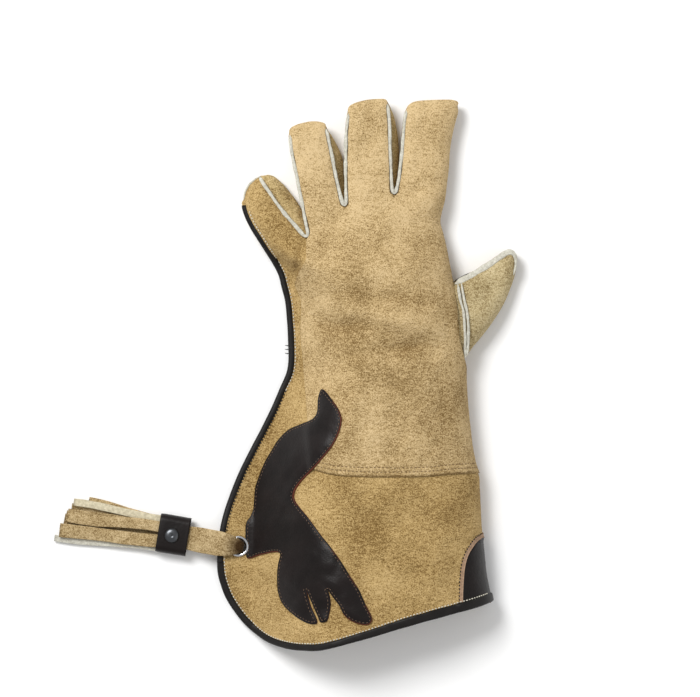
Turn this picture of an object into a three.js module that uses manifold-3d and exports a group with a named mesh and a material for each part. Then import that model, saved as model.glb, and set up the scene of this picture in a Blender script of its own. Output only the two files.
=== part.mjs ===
// Left-hand falconry gauntlet of suede with a tassel, lying palm down. Millimetres, +Z up, fingers to +Y.
import * as THREE from "three";
import { mergeVertices } from "three/addons/utils/BufferGeometryUtils.js";
import Module from "manifold-3d";

const wasm = await Module();
wasm.setup();

// Driving sizes
const GLOVE_LENGTH = 412; // lowest point of the cuff's hem to the tip of the middle finger
const CUFF_WIDTH = 202; // across the cuff, binding included
const CROWN_HEIGHT = 56; // highest point of the gauntlet above the floor
const SUEDE = 2; // thickness of one layer of suede
const OVERLAY_SUEDE = 1.8; // thickness of the second layer over the hand
const DARK_LEATHER = 1.4; // thickness of the bird and of the corner patch
const FIT = 0.3; // clearance between two pieces that touch
const BINDING_WIDTH = 4.8; // seen width of the black binding
const BINDING_LEATHER = 1.2; // thickness of the binding
const BINDING_BACK = 1.4; // depth of the binding's fold beyond the edge that it holds
const WELT_THICKNESS = 1.2;
const WELT_REACH = 1.3; // how far a welt stands out of its seam
const FINGER_HEIGHT = 27; // at the knuckles
const FINGERTIP_HEIGHT = 20;
const SEAM_HIGH = 0.8; // height of the upper finger seam as a share of the finger's height
const SEAM_LOW = 0.2;
const FOLD_RADIUS = 13; // height of the middle of the thumb-side fold
const FLAP_THICKNESS = 2 * SUEDE + FIT; // two layers pressed together at the outer seam
const EDGE_LIFT = 2.1; // how far the bound edges keep the suede off the floor
const STRAP_LIFT = 2.2; // how far the strap lifts the flap at the eyelet
const STRAP_LIFT_SPAN = 17; // reach of that lift round the eyelet
const EDGE_FADE = 28; // length over which an edge's lift dies away
const THUMB_HEIGHT = 24;
const THUMB_TIP_HEIGHT = 17;
const WRIST_SEAM = 0.43; // where the palm is sewn to the cuff's underside, as a share of GLOVE_LENGTH
const KNUCKLE_FADE = 62; // length over which the back of the hand comes down to the fingers

const HEM_SET_BACK = 18.6; // how far the hem's lowest point lies behind the middle of the frame's length
const HEM_Y = -0.5 * GLOVE_LENGTH - HEM_SET_BACK;
const BODY_END = 0.84; // where the gauntlet's form ends, as a share of GLOVE_LENGTH
const FINGER_ROOT = 0.76; // where the fingers begin, as a share of GLOVE_LENGTH
const BODY_END_Y = HEM_Y + BODY_END * GLOVE_LENGTH;

// A short table: each row becomes an object with the named columns.
function table(columns, rows) {
  return rows.map((row) => Object.fromEntries(columns.map((name, i) => [name, row[i]])));
}

// Gauntlet and hand: along is a share of GLOVE_LENGTH from the hem's lowest point, ulnar and radial are the
// two edges as shares of CUFF_WIDTH from the long axis, crown is a share of CROWN_HEIGHT, flap is the width of
// the pressed seam as a share of CUFF_WIDTH.
const BODY = table(
  ["along", "ulnar", "radial", "crown", "flap"],
  [
    [-0.03, -0.485, 0.55, 0.97, 0.13],
    [0.02, -0.485, 0.54, 0.975, 0.13],
    [0.06, -0.485, 0.529, 0.98, 0.13],
    [0.1, -0.485, 0.52, 1.0, 0.13],
    [0.145, -0.486, 0.504, 1.0, 0.13],
    [0.184, -0.484, 0.497, 0.995, 0.128],
    [0.222, -0.471, 0.489, 0.98, 0.12],
    [0.29, -0.43, 0.479, 0.95, 0.085],
    [0.33, -0.393, 0.471, 0.93, 0.06],
    [0.376, -0.344, 0.457, 0.91, 0.045],
    [0.42, -0.3, 0.442, 0.89, 0.04],
    [0.463, -0.26, 0.431, 0.87, 0.04],
    [0.506, -0.224, 0.423, 0.86, 0.04],
    [0.55, -0.228, 0.43, 0.86, 0.04],
    [0.615, -0.23, 0.42, 0.85, 0.04],
    [0.66, -0.25, 0.39, 0.84, 0.04],
    [0.703, -0.277, 0.375, 0.82, 0.04],
    [0.743, -0.33, 0.353, 0.78, 0.04],
    [0.772, -0.36, 0.338, 0.74, 0.04],
    [0.8, -0.385, 0.34, 0.7, 0.04],
    [0.84, -0.4, 0.345, 0.66, 0.04],
  ],
);

// Fingers: base and tip centres and widths in shares of GLOVE_LENGTH and CUFF_WIDTH, square is the roundness
// of the tip seen from above, lean is how far the sole of the finger lies beyond its top as a share of its
// height, round is the tip's rounded length as a share of its width.
const FINGERS = table(
  ["name", "baseX", "baseAlong", "tipX", "tipAlong", "baseWidth", "tipWidth", "square", "lean", "round"],
  [
    ["pinky", -0.208, 0.7, -0.335, 0.862, 0.13, 0.172, 2.1, 0.42, 0.6],
    ["ring", -0.0634, 0.7, -0.158, 0.961, 0.172, 0.15, 2.6, 0.12, 0.5],
    ["middle", 0.07, 0.76, 0.076, 0.999, 0.174, 0.172, 2.6, 0.12, 0.42],
    ["index", 0.253, 0.76, 0.307, 0.999, 0.172, 0.188, 3.2, 0.03, 0.36],
  ],
);

const THUMB = {
  baseX: 0.287,
  baseAlong: 0.5354,
  tipX: 0.622,
  tipAlong: 0.714,
  baseWidth: 0.29,
  tipWidth: 0.105,
  square: 2.2,
  lean: 0,
  round: 0.9,
};

// Folds and dents of the upper surface: across, half length and half width in shares of CUFF_WIDTH, along in
// shares of GLOVE_LENGTH, turn in degrees, height in shares of CROWN_HEIGHT.
const FOLDS = table(
  ["across", "along", "half", "width", "turn", "height"],
  [
    [-0.109, 0.584, 0.084, 0.054, 62, -0.089],
    [-0.213, 0.683, 0.079, 0.03, 78, -0.071],
    [-0.168, 0.7, 0.074, 0.03, 78, 0.045],
    [0.213, 0.591, 0.129, 0.045, -14, 0.045],
    [0.158, 0.623, 0.099, 0.04, -8, -0.054],
    [0.168, 0.55, 0.129, 0.04, 8, -0.054],
    [0.376, 0.599, 0.04, 0.099, 10, -0.071],
    [0.347, 0.448, 0.05, 0.129, 4, -0.036],
    [0.099, 0.23, 0.198, 0.079, 20, -0.036],
    [-0.099, 0.4, 0.149, 0.059, 50, 0.036],
  ],
);

// Catmull-Rom reading of a table's column at a key.
function read(rows, keyName, column, key) {
  const last = rows.length - 1;
  let i = 0;
  while (i < last - 1 && key > rows[i + 1][keyName]) i += 1;
  const before = rows[Math.max(i - 1, 0)][column];
  const from = rows[i][column];
  const to = rows[i + 1][column];
  const after = rows[Math.min(i + 2, last)][column];
  const span = rows[i + 1][keyName] - rows[i][keyName];
  const t = Math.min(Math.max((key - rows[i][keyName]) / span, 0), 1);
  const slopeIn = (to - before) / 2;
  const slopeOut = (after - from) / 2;
  const bend = 2 * (from - to) + slopeIn + slopeOut;
  const rise = 3 * (to - from) - 2 * slopeIn - slopeOut;
  return from + t * (slopeIn + t * (rise + t * bend));
}

const clamp01 = (v) => Math.min(Math.max(v, 0), 1);
const mix = (a, b, t) => a + (b - a) * t;
const smooth = (v) => {
  const t = clamp01(v);
  return t * t * (3 - 2 * t);
};
const alongY = (share) => HEM_Y + share * GLOVE_LENGTH;
const fingerHeight = (y) => {
  const reach = (1 - FINGER_ROOT) * GLOVE_LENGTH;
  return mix(FINGER_HEIGHT, FINGERTIP_HEIGHT, clamp01((y - alongY(FINGER_ROOT)) / reach));
};

function station(y) {
  const along = (y - HEM_Y) / GLOVE_LENGTH;
  return {
    left: read(BODY, "along", "ulnar", along) * CUFF_WIDTH,
    right: read(BODY, "along", "radial", along) * CUFF_WIDTH,
    crown: read(BODY, "along", "crown", along) * CROWN_HEIGHT,
    flap: read(BODY, "along", "flap", along) * CUFF_WIDTH,
  };
}

function foldHeight(x, y) {
  let sum = 0;
  for (const f of FOLDS) {
    const turn = THREE.MathUtils.degToRad(f.turn);
    const dx = x - f.across * CUFF_WIDTH;
    const dy = y - alongY(f.along);
    const u = (dx * Math.cos(turn) + dy * Math.sin(turn)) / (f.half * CUFF_WIDTH);
    const v = (dy * Math.cos(turn) - dx * Math.sin(turn)) / (f.width * CUFF_WIDTH);
    sum += f.height * CROWN_HEIGHT * Math.exp(-u * u - v * v);
  }
  return sum;
}

// Plan of the cuff's hem: y of the outer edge of the binding at x.
const HEM = table(
  ["across", "along"],
  [
    [-0.6, 0.2],
    [-0.494, 0.15],
    [-0.486, 0.113],
    [-0.464, 0.086],
    [-0.44, 0.063],
    [-0.405, 0.043],
    [-0.355, 0.025],
    [-0.28, 0.009],
    [-0.2, 0.001],
    [-0.12, 0.001],
    [-0.02, 0.012],
    [0.08, 0.027],
    [0.2, 0.042],
    [0.3, 0.054],
    [0.4, 0.067],
    [0.46, 0.078],
    [0.51, 0.09],
    [0.6, 0.112],
  ],
);

const hemY = (x) => alongY(read(HEM, "across", "along", x / CUFF_WIDTH));

const EYELET_ACROSS = -0.415; // share of CUFF_WIDTH
const EYELET_ALONG = 0.184; // share of GLOVE_LENGTH
const EYELET_X = EYELET_ACROSS * CUFF_WIDTH;
const EYELET_Y = alongY(EYELET_ALONG);
const SOLE_ROUND = 0.92; // how much of the thumb-side fold's rounding the palm follows

// Height of the palm's underside at x, y on the gauntlet's section s.
function soleHeight(x, y, s) {
  const seam = 1 - smooth((x - s.left - s.flap) / EDGE_FADE);
  const hem = 1 - smooth((y - hemY(x)) / EDGE_FADE);
  const strap = 1 - smooth((Math.hypot(x - EYELET_X, y - EYELET_Y) - STRAP_LIFT_SPAN) / STRAP_LIFT_SPAN);
  const fold = clamp01((x - (s.right - FOLD_RADIUS)) / FOLD_RADIUS);
  const round = SOLE_ROUND * FOLD_RADIUS * (1 - Math.sqrt(1 - fold * fold));
  return Math.max(EDGE_LIFT * Math.max(seam, hem) + STRAP_LIFT * strap, round);
}

const RAMP = 0.42; // share of the width where the crown is reached
const KNUCKLE_RAMP = 0.15; // the same at the knuckles
const RAMP_POWER = 1.2;
const FLAP_PULL = 0.4; // how far a wider flap moves the crown inwards, as a share of the flap
const KNUCKLE_DIP = 0.6; // how far the hand's form stays under the fingers' at the knuckles
const KNUCKLE_LEAD = 4; // how far ahead of the knuckles the hand has come down to the fingers

// Plan of the knuckles: the gauntlet ends here and the fingers go on.
const KNUCKLES = table(
  ["across", "along"],
  [
    [-0.6, 0.735],
    [-0.33, 0.74],
    [-0.16, 0.748],
    [-0.018, 0.804],
    [0.163, 0.826],
    [0.6, 0.826],
  ],
);

function knuckleY(x) {
  const across = x / CUFF_WIDTH;
  let i = 0;
  while (i < KNUCKLES.length - 2 && across > KNUCKLES[i + 1].across) i += 1;
  const from = KNUCKLES[i];
  const to = KNUCKLES[i + 1];
  return alongY(mix(from.along, to.along, clamp01((across - from.across) / (to.across - from.across))));
}

// Height of the upper surface at x, y on the gauntlet's section s.
function crownHeight(x, y, s) {
  const behind = knuckleY(x) - y;
  const crown = mix(fingerHeight(y) - KNUCKLE_DIP, s.crown, smooth((behind + KNUCKLE_LEAD) / KNUCKLE_FADE));
  const ramp = mix(KNUCKLE_RAMP, RAMP, smooth(behind / KNUCKLE_FADE));
  const peak = s.left + ramp * (s.right - s.left) + FLAP_PULL * s.flap;
  const start = s.left + s.flap;
  const flap = soleHeight(Math.min(x, start), y, s) + FLAP_THICKNESS;
  if (x < peak) {
    const a = clamp01((x - start) / (peak - start));
    return mix(flap, crown, Math.sin((a * Math.PI) / 2) ** RAMP_POWER) + foldHeight(x, y) * smooth(2 * a);
  }
  const b = clamp01((x - peak) / (s.right - peak));
  return FOLD_RADIUS + (crown - FOLD_RADIUS) * (1 - b ** 3) ** 0.5 + foldHeight(x, y) * smooth(3 * (1 - b));
}

const TOP_STEPS = 11;
const FOLD_STEPS = 3;
const STEEPEST = 3.5; // slope beyond which a wall's thickness is no longer corrected
const LEAST_HOLLOW = 0.4;
const HOLLOW_SEAM = 1; // flat strip beside the outer seam inside the hollow
const SLOPE_STEP = 0.8; // half of the distance over which a slope is measured

function slopeAt(f, x, y, s) {
  const a = Math.max(x - SLOPE_STEP, s.left);
  const b = Math.min(x + SLOPE_STEP, s.right);
  return Math.min(Math.abs((f(b, y, s) - f(a, y, s)) / (b - a)), STEEPEST);
}

// One closed ring of the gauntlet at y, moved inwards by inset (outwards when it is negative).
function bodyRing(y, inset) {
  const s = station(y);
  const hollow = inset > 0;
  const left = hollow ? s.left + s.flap + inset - SUEDE : s.left + inset;
  const right = s.right - inset;
  const radius = FOLD_RADIUS - inset;
  const inside = (x) => Math.min(Math.max(x, s.left), s.right);
  const ring = [];
  const rampStart = left + (hollow ? 2 * HOLLOW_SEAM : s.flap - inset);
  for (let i = 0; i < TOP_STEPS; i += 1) {
    const share = (i - 1) / (TOP_STEPS - 1);
    const eased = share < 0.5 ? share : 0.5 + 0.5 * Math.sin((share - 0.5) * Math.PI);
    const x = i === 0 ? left : mix(rampStart, right, eased);
    const z = crownHeight(inside(x), y, s) - inset * Math.hypot(1, slopeAt(crownHeight, inside(x), y, s));
    const least = hollow ? soleHeight(inside(x), y, s) + inset + LEAST_HOLLOW : 0;
    ring.push([x, y, Math.max(z, least)]);
  }
  for (let i = 0; i <= FOLD_STEPS; i += 1) {
    const angle = ((i / FOLD_STEPS) * Math.PI) / 2;
    ring.push([right - radius * (1 - Math.cos(angle)), y, FOLD_RADIUS - radius * Math.sin(angle)]);
  }
  const flapEnd = left + (hollow ? HOLLOW_SEAM : s.flap);
  const middle = mix(flapEnd, right, 0.5);
  for (const x of [middle, flapEnd + EDGE_FADE, flapEnd + 0.5 * EDGE_FADE, flapEnd, left]) {
    ring.push([x, y, soleHeight(inside(x), y, s) + inset]);
  }
  return ring;
}

// Closed skin over rings of equal length.
function skin(rings) {
  const size = rings[0].length;
  const positions = [];
  const index = [];
  for (const ring of rings) for (const p of ring) positions.push(...p);
  for (let r = 0; r + 1 < rings.length; r += 1) {
    for (let i = 0; i < size; i += 1) {
      const a = r * size + i;
      const b = r * size + ((i + 1) % size);
      index.push(a, b, b + size, a, b + size, a + size);
    }
  }
  for (const [r, flip] of [
    [0, true],
    [rings.length - 1, false],
  ]) {
    const middle = [0, 1, 2].map((k) => rings[r].reduce((sum, p) => sum + p[k], 0) / size);
    const hub = positions.length / 3;
    positions.push(...middle);
    for (let i = 0; i < size; i += 1) {
      const a = r * size + i;
      const b = r * size + ((i + 1) % size);
      index.push(...(flip ? [b, a, hub] : [a, b, hub]));
    }
  }
  return solid(positions, index);
}

function solid(positions, index) {
  const make = (triangles) =>
    new wasm.Manifold(
      new wasm.Mesh({
        numProp: 3,
        vertProperties: new Float32Array(positions),
        triVerts: new Uint32Array(triangles),
      }),
    );
  const made = make(index);
  if (made.volume() > 0) return made;
  const turned = [];
  for (let i = 0; i < index.length; i += 3) turned.push(index[i], index[i + 2], index[i + 1]);
  return make(turned);
}

function fromGeometry(geometry) {
  const bare = new THREE.BufferGeometry();
  const source = geometry.index ? geometry.toNonIndexed() : geometry;
  bare.setAttribute("position", source.getAttribute("position"));
  const merged = mergeVertices(bare, 1e-4);
  return solid(Array.from(merged.attributes.position.array), Array.from(merged.index.array));
}

// Upright prism over a plan outline.
function prism(outline, low, high) {
  const shape = new THREE.Shape(outline.map(([x, y]) => new THREE.Vector2(x, y)));
  const geometry = new THREE.ExtrudeGeometry(shape, { depth: high - low, bevelEnabled: false });
  geometry.translate(0, 0, low);
  return fromGeometry(geometry);
}

const bodyForm = (inset) => skin(BODY.map((row) => bodyRing(alongY(row.along), inset)));

const SECTION_POINTS = 10;
const SECTION_POWER = 2 / 4.5; // of the superellipse that is a finger's section
const TIP_STEPS = [0.5, 0.84, 0.99]; // sections of a rounded tip, as shares of its length
const TIP_DEPTH = 0.35; // height of a tip's last section as a share of the finger's
const TIP_DROP = 0.12; // how far a tip's middle sinks
const TIP_POWER = 4;
const LEAST_HALF_WIDTH = 1;
const power = (v, e) => Math.sign(v) * Math.abs(v) ** e;

// Boxy closed tube along a level axis, rounded at its tip.
function digit(f, inset, heightAt) {
  const base = new THREE.Vector2(f.baseX * CUFF_WIDTH, alongY(f.baseAlong));
  const tip = new THREE.Vector2(f.tipX * CUFF_WIDTH, alongY(f.tipAlong));
  const axis = tip.clone().sub(base);
  const length = axis.length() - inset;
  axis.normalize();
  const rootStart = -Math.abs(inset);
  const side = new THREE.Vector2(axis.y, -axis.x);
  const roundLength = f.round * f.tipWidth * CUFF_WIDTH;
  const shares = [0, 0.5, 1];
  const steps = shares.map((t) => [mix(rootStart, length - roundLength, t), 0]);
  for (const u of TIP_STEPS) steps.push([length - roundLength * (1 - u), u]);
  return skin(
    steps.map(([d, u]) => {
      const centre = base.clone().addScaledVector(axis, d);
      const height = heightAt(centre.y, d / length);
      const narrow = (1 - u ** f.square) ** (1 / f.square);
      const depth = mix(TIP_DEPTH, 1, (1 - u ** TIP_POWER) ** (1 / TIP_POWER));
      const width = mix(f.baseWidth, f.tipWidth, d / length) * CUFF_WIDTH;
      const halfWidth = Math.max(width / 2 - inset, LEAST_HALF_WIDTH) * narrow;
      const halfHeight = (height / 2 - inset) * depth;
      const middle = height / 2 - (1 - depth) * height * TIP_DROP;
      const ring = [];
      for (let i = 0; i < SECTION_POINTS; i += 1) {
        const angle = ((i + 0.5) / SECTION_POINTS) * 2 * Math.PI;
        const across = halfWidth * power(Math.cos(angle), SECTION_POWER);
        const z = middle + halfHeight * power(Math.sin(angle), SECTION_POWER);
        const shift = across + f.lean * (height / 2 - z);
        ring.push([centre.x + side.x * shift, centre.y + side.y * shift, z]);
      }
      return ring;
    }),
  );
}

const finger = (name) => FINGERS.find((f) => f.name === name);
const fingerForm = (name, inset) => digit(finger(name), inset, fingerHeight);
const thumbForm = (inset) => digit(THUMB, inset, (y, t) => mix(THUMB_HEIGHT, THUMB_TIP_HEIGHT, t));

const SHARPEST = 0.35; // limits how far a sharp corner is moved out

// Outline moved outwards by d (inwards when d is negative), each corner along its bisector.
function offset(outline, d) {
  const count = outline.length;
  const area = outline.reduce((sum, [x, y], i) => {
    const [nx, ny] = outline[(i + 1) % count];
    return sum + x * ny - nx * y;
  }, 0);
  const sign = area > 0 ? 1 : -1;
  return outline.map((p, i) => {
    const a = outline[(i + count - 1) % count];
    const b = outline[(i + 1) % count];
    const u = new THREE.Vector2(p[0] - a[0], p[1] - a[1]).normalize();
    const v = new THREE.Vector2(b[0] - p[0], b[1] - p[1]).normalize();
    const n = new THREE.Vector2(u.y + v.y, -u.x - v.x).multiplyScalar(sign);
    const scale = 1 / Math.max(n.lengthSq() / 2, SHARPEST);
    return [p[0] + n.x * d * scale, p[1] + n.y * d * scale];
  });
}

const CEILING = 2.2 * CROWN_HEIGHT; // above everything
const BELOW = -20; // under everything
const FAR = 1.3 * CUFF_WIDTH; // beyond everything
const column = (outline) => prism(outline, BELOW, CEILING);
const box = (x0, x1, y0, y1, z0, z1) => prism([[x0, y0], [x1, y0], [x1, y1], [x0, y1]], z0, z1);
const belowZ = (z) => box(-FAR, FAR, -FAR, FAR, BELOW, z);
const aboveZ = (z) => box(-FAR, FAR, -FAR, FAR, z, CEILING);
const beyond = (y) => box(-FAR, FAR, y, FAR, BELOW, CEILING);

// The bound rim in plan: down the outer seam, round the corner of the flap and along the hem.
const SEAM_END = 0.735; // where the rim leaves the little finger, as a share of GLOVE_LENGTH
const SEAM_CORNER = 0.165; // where it turns into the hem
const HEM_REACH = 0.56; // end of the hem on the thumb's side as a share of CUFF_WIDTH
const SEAM_END_Y = alongY(SEAM_END);
const RIM_SEAM_STEPS = 12;
const HEM_STEPS = 14;

function rim(inset) {
  const line = [];
  for (let i = 0; i <= RIM_SEAM_STEPS; i += 1) {
    const y = mix(SEAM_END_Y, alongY(SEAM_CORNER), i / RIM_SEAM_STEPS);
    line.push([station(y).left, y]);
  }
  for (let i = 0; i <= HEM_STEPS; i += 1) {
    const x = mix(HEM[1].across, HEM_REACH, i / HEM_STEPS) * CUFF_WIDTH;
    line.push([x, hemY(x)]);
  }
  return line.map((p, i) => {
    const a = line[Math.max(i - 1, 0)];
    const b = line[Math.min(i + 1, line.length - 1)];
    const along = new THREE.Vector2(b[0] - a[0], b[1] - a[1]).normalize();
    return [p[0] - along.y * inset, p[1] + along.x * inset];
  });
}

// Everything inside the rim by inset, fingers and thumb included.
function regionInside(inset) {
  const line = rim(inset);
  const [, endY] = line[line.length - 1];
  return column([...line, [FAR, endY], [FAR, FAR], [-FAR, FAR], [-FAR, line[0][1]]]);
}
const rimBand = (from, to) => column([...rim(from), ...rim(to).reverse()]);

const SHEET_MARGIN = 20; // how far a cutting form reaches beyond the glove

// Gauntlet and fingers as one closed body at one inset.
function gloveForm(inset, digits) {
  const knuckles = KNUCKLES.map((k) => [k.across * CUFF_WIDTH, alongY(k.along) - inset]);
  const end = KNUCKLES[KNUCKLES.length - 1].across;
  const start = alongY(BODY[0].along) - SHEET_MARGIN;
  const region = [[-end * CUFF_WIDTH, start], [end * CUFF_WIDTH, start], ...knuckles.reverse()];
  let made = bodyForm(inset).intersect(column(region));
  for (const name of digits) made = made.add(fingerForm(name, inset));
  return made;
}

const FOUR = ["pinky", "ring", "middle", "index"];
const THREE_FINGERS = ["ring", "middle", "index"];
const glove = gloveForm(0, FOUR);
const gloveHollow = gloveForm(SUEDE, FOUR);
const thumbHollow = thumbForm(SUEDE);

const SEAM_FADE = 40; // across, from the outer seam to the height of the thumb-side fold
const FINGER_SEAM_LEAD = 16; // how far behind the knuckles the fingers' sides begin
const FINGER_SEAM_FADE = 22;

// Height between the back and the palm: the outer seam, then the thumb-side fold, then the fingers' sides.
function seamHeight(x, y) {
  const s = station(Math.min(y, BODY_END_Y));
  const seam = soleHeight(Math.min(x, s.left + s.flap), y, s) + FLAP_THICKNESS / 2;
  const hand = mix(seam, FOLD_RADIUS, smooth((x - s.left - s.flap) / SEAM_FADE));
  return mix(hand, fingerHeight(y) / 2, smooth((y - knuckleY(x) + FINGER_SEAM_LEAD) / FINGER_SEAM_FADE));
}

// Everything above a height given over the plan: rows of y, each read at the xs of that row.
function aboveSheet(rows, acrossAt, heightAt) {
  return skin(
    rows.map((y) => {
      const line = acrossAt(y).map((x) => [x, y, heightAt(x, y)]);
      return [...line, [FAR, y, CEILING], [-FAR, y, CEILING]];
    }),
  );
}

const FINGER_MIDDLE = 0.92; // share of GLOVE_LENGTH
const SEAM_SAMPLES = [0, 0.3, 0.7, 1.05]; // where the height is read beside the flap, in shares of SEAM_FADE
const sheetStart = HEM_Y - SHEET_MARGIN;
const sheetEnd = HEM_Y + GLOVE_LENGTH + SHEET_MARGIN;
const bodyRows = BODY.slice(1).map((row) => alongY(row.along));
const seamRows = [sheetStart, ...bodyRows, alongY(FINGER_MIDDLE), sheetEnd];
function seamAcross(y) {
  const s = station(Math.min(y, BODY_END_Y));
  const end = s.left + s.flap;
  return [-FAR, s.left - BINDING_WIDTH, ...SEAM_SAMPLES.map((t) => end + t * SEAM_FADE), s.right, FAR];
}
const aboveSeam = (up) => aboveSheet(seamRows, seamAcross, (x, y) => seamHeight(x, y) + up);
const fingerRows = [sheetStart, alongY(FINGER_ROOT), alongY(1), sheetEnd];
const aboveFingerSeam = (share, up) =>
  aboveSheet(fingerRows, () => [-FAR, FAR], (x, y) => fingerHeight(y) * share + up);

const CROTCH_LEAD = 5; // how far behind the knuckles a side wall begins
const TIP_MARGIN = 12;

// Plan between two neighbouring fingers, from just inside the knuckles to beyond their tips.
function between(left, right, grow) {
  const pair = [left, right].map(finger);
  const start = Math.min(...pair.map((f) => knuckleY(f.tipX * CUFF_WIDTH))) - CROTCH_LEAD;
  const ends = pair.map((f, i) => {
    const base = new THREE.Vector2(f.baseX * CUFF_WIDTH, alongY(f.baseAlong));
    const axis = new THREE.Vector2(f.tipX * CUFF_WIDTH, alongY(f.tipAlong)).sub(base).normalize();
    const sideways = i === 0 ? FIT / 2 - grow : grow - FIT / 2;
    const at = (y) => {
      const t = (y - base.y) / axis.y;
      return [base.x + axis.x * t + sideways, y];
    };
    return [at(start - grow), at(alongY(f.tipAlong) + TIP_MARGIN)];
  });
  return column([ends[0][0], ends[1][0], ends[1][1], ends[0][1]]);
}

const group = new THREE.Group();
group.name = "falconry_glove";

function addPiece(name, made, material) {
  if (made.decompose().length !== 1) throw new Error(`${name} isn't one body`);
  const data = made.getMesh();
  const geometry = new THREE.BufferGeometry();
  geometry.setAttribute("position", new THREE.BufferAttribute(new Float32Array(data.vertProperties), 3));
  geometry.setIndex(new THREE.BufferAttribute(new Uint32Array(data.triVerts), 1));
  const flat = geometry.toNonIndexed();
  flat.computeVertexNormals();
  const mesh = new THREE.Mesh(flat, material);
  mesh.name = name;
  group.add(mesh);
}

const leather = (color, roughness) => new THREE.MeshStandardMaterial({ color, roughness, metalness: 0 });
const suede = leather(0xbfa478, 0.95);
const underSuede = leather(0xad9161, 0.95);
const paleEdge = leather(0xb9b3a2, 0.9);
const darkLeather = leather(0x2b2320, 0.5);
const blackLeather = leather(0x1c1a19, 0.55);
const steel = new THREE.MeshStandardMaterial({ color: 0xc9ccd0, roughness: 0.2, metalness: 1 });
const gunmetal = new THREE.MeshStandardMaterial({ color: 0x4a4c4e, roughness: 0.35, metalness: 1 });

// Panels, side walls of the fingers and their welts
const EYELET_RADIUS = 8;
const EYELET_HOLE = 5.3;
const HOLE_SIDES = 12;
function disc(x, y, radius, low, high) {
  const geometry = new THREE.CylinderGeometry(radius, radius, high - low, HOLE_SIDES);
  geometry.rotateX(Math.PI / 2);
  geometry.translate(x, y, (low + high) / 2);
  return fromGeometry(geometry);
}
const eyeletHole = disc(EYELET_X, EYELET_Y, EYELET_HOLE, BELOW, CEILING);
const shell = glove
  .subtract(gloveHollow)
  .subtract(thumbHollow)
  .intersect(regionInside(BINDING_BACK))
  .subtract(eyeletHole);
const halfWelt = WELT_THICKNESS / 2;
const aboveTopSeam = aboveFingerSeam(SEAM_HIGH, -halfWelt - FIT);
const aboveSoleSeam = aboveFingerSeam(SEAM_LOW, FIT / 2);
const belowTopSeam = belowZ(CEILING - FIT).subtract(aboveFingerSeam(SEAM_HIGH, halfWelt + FIT));
const aboveSoleEdge = aboveFingerSeam(SEAM_LOW, -FIT / 2);
const weltBand = aboveFingerSeam(SEAM_HIGH, -halfWelt).subtract(aboveFingerSeam(SEAM_HIGH, halfWelt));
const weltForm = gloveForm(-WELT_REACH, FOUR).subtract(gloveHollow);

let back = shell.intersect(aboveSeam(FIT / 2));
let palm = shell.subtract(aboveSeam(-FIT / 2));
const GAPS = [["pinky", "ring"], ["ring", "middle"], ["middle", "index"]];
for (const [left, right] of GAPS) {
  const zone = between(left, right, FIT);
  back = back.subtract(zone.intersect(belowTopSeam));
  palm = palm.subtract(zone.intersect(aboveSoleEdge));
}
addPiece("back_panel", back, underSuede);
const WRIST_SEAM_Y = alongY(WRIST_SEAM);
addPiece("palm_panel", palm.intersect(beyond(WRIST_SEAM_Y + FIT / 2)), underSuede);
addPiece("cuff_underside", palm.subtract(beyond(WRIST_SEAM_Y - FIT / 2)), underSuede);
for (const [left, right] of GAPS) {
  const zone = between(left, right, 0);
  const wall = shell.intersect(zone).intersect(aboveSoleSeam).subtract(aboveTopSeam);
  addPiece(`fourchette_${left}_${right}`, wall, underSuede);
  addPiece(`welt_${left}_${right}`, weltForm.intersect(zone).intersect(weltBand), paleEdge);
}

// Thumb, set in at the fold of the hand
const THUMB_INLET = 6; // how far the thumb reaches in behind the fold
const THUMB_SEAM = 0.42; // height of the thumb's seam as a share of THUMB_HEIGHT
const THUMB_FROM_Y = alongY(0.4);
const THUMB_TO_Y = alongY(0.75);
const THUMB_STEPS = 8;
const thumbLine = Array.from({ length: THUMB_STEPS + 1 }, (_, i) => {
  const y = mix(THUMB_FROM_Y, THUMB_TO_Y, i / THUMB_STEPS);
  return [station(y).right - THUMB_INLET, y];
});
const thumbSide = column([...thumbLine, [FAR, THUMB_TO_Y], [FAR, THUMB_FROM_Y]]);
const OFF_FLOOR = 0.2; // least height of what mustn't carry the glove
const weltStart = gloveForm(-FIT, FOUR);
const weltEnd = gloveForm(-FIT - WELT_THICKNESS, FOUR);
const thumbStart = gloveForm(-2 * FIT - WELT_THICKNESS, FOUR);
const thumbShell = thumbForm(0).subtract(thumbHollow).subtract(thumbStart).intersect(thumbSide);
const thumbSeam = (up) => aboveZ(THUMB_HEIGHT * THUMB_SEAM + up);
addPiece("thumb_back", thumbShell.intersect(thumbSeam(halfWelt + FIT)), suede);
addPiece("thumb_palm", thumbShell.subtract(thumbSeam(-halfWelt - FIT)), suede);
const thumbWelt = thumbForm(-WELT_REACH).subtract(thumbHollow).subtract(thumbStart).intersect(thumbSide);
addPiece("thumb_welt", thumbWelt.intersect(thumbSeam(-halfWelt)).subtract(thumbSeam(halfWelt)), paleEdge);
const baseWelt = thumbForm(-WELT_REACH).subtract(thumbHollow).intersect(weltEnd).subtract(weltStart);
addPiece("thumb_base_welt", baseWelt.intersect(thumbSide).intersect(aboveZ(OFF_FLOOR)), paleEdge);

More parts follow.
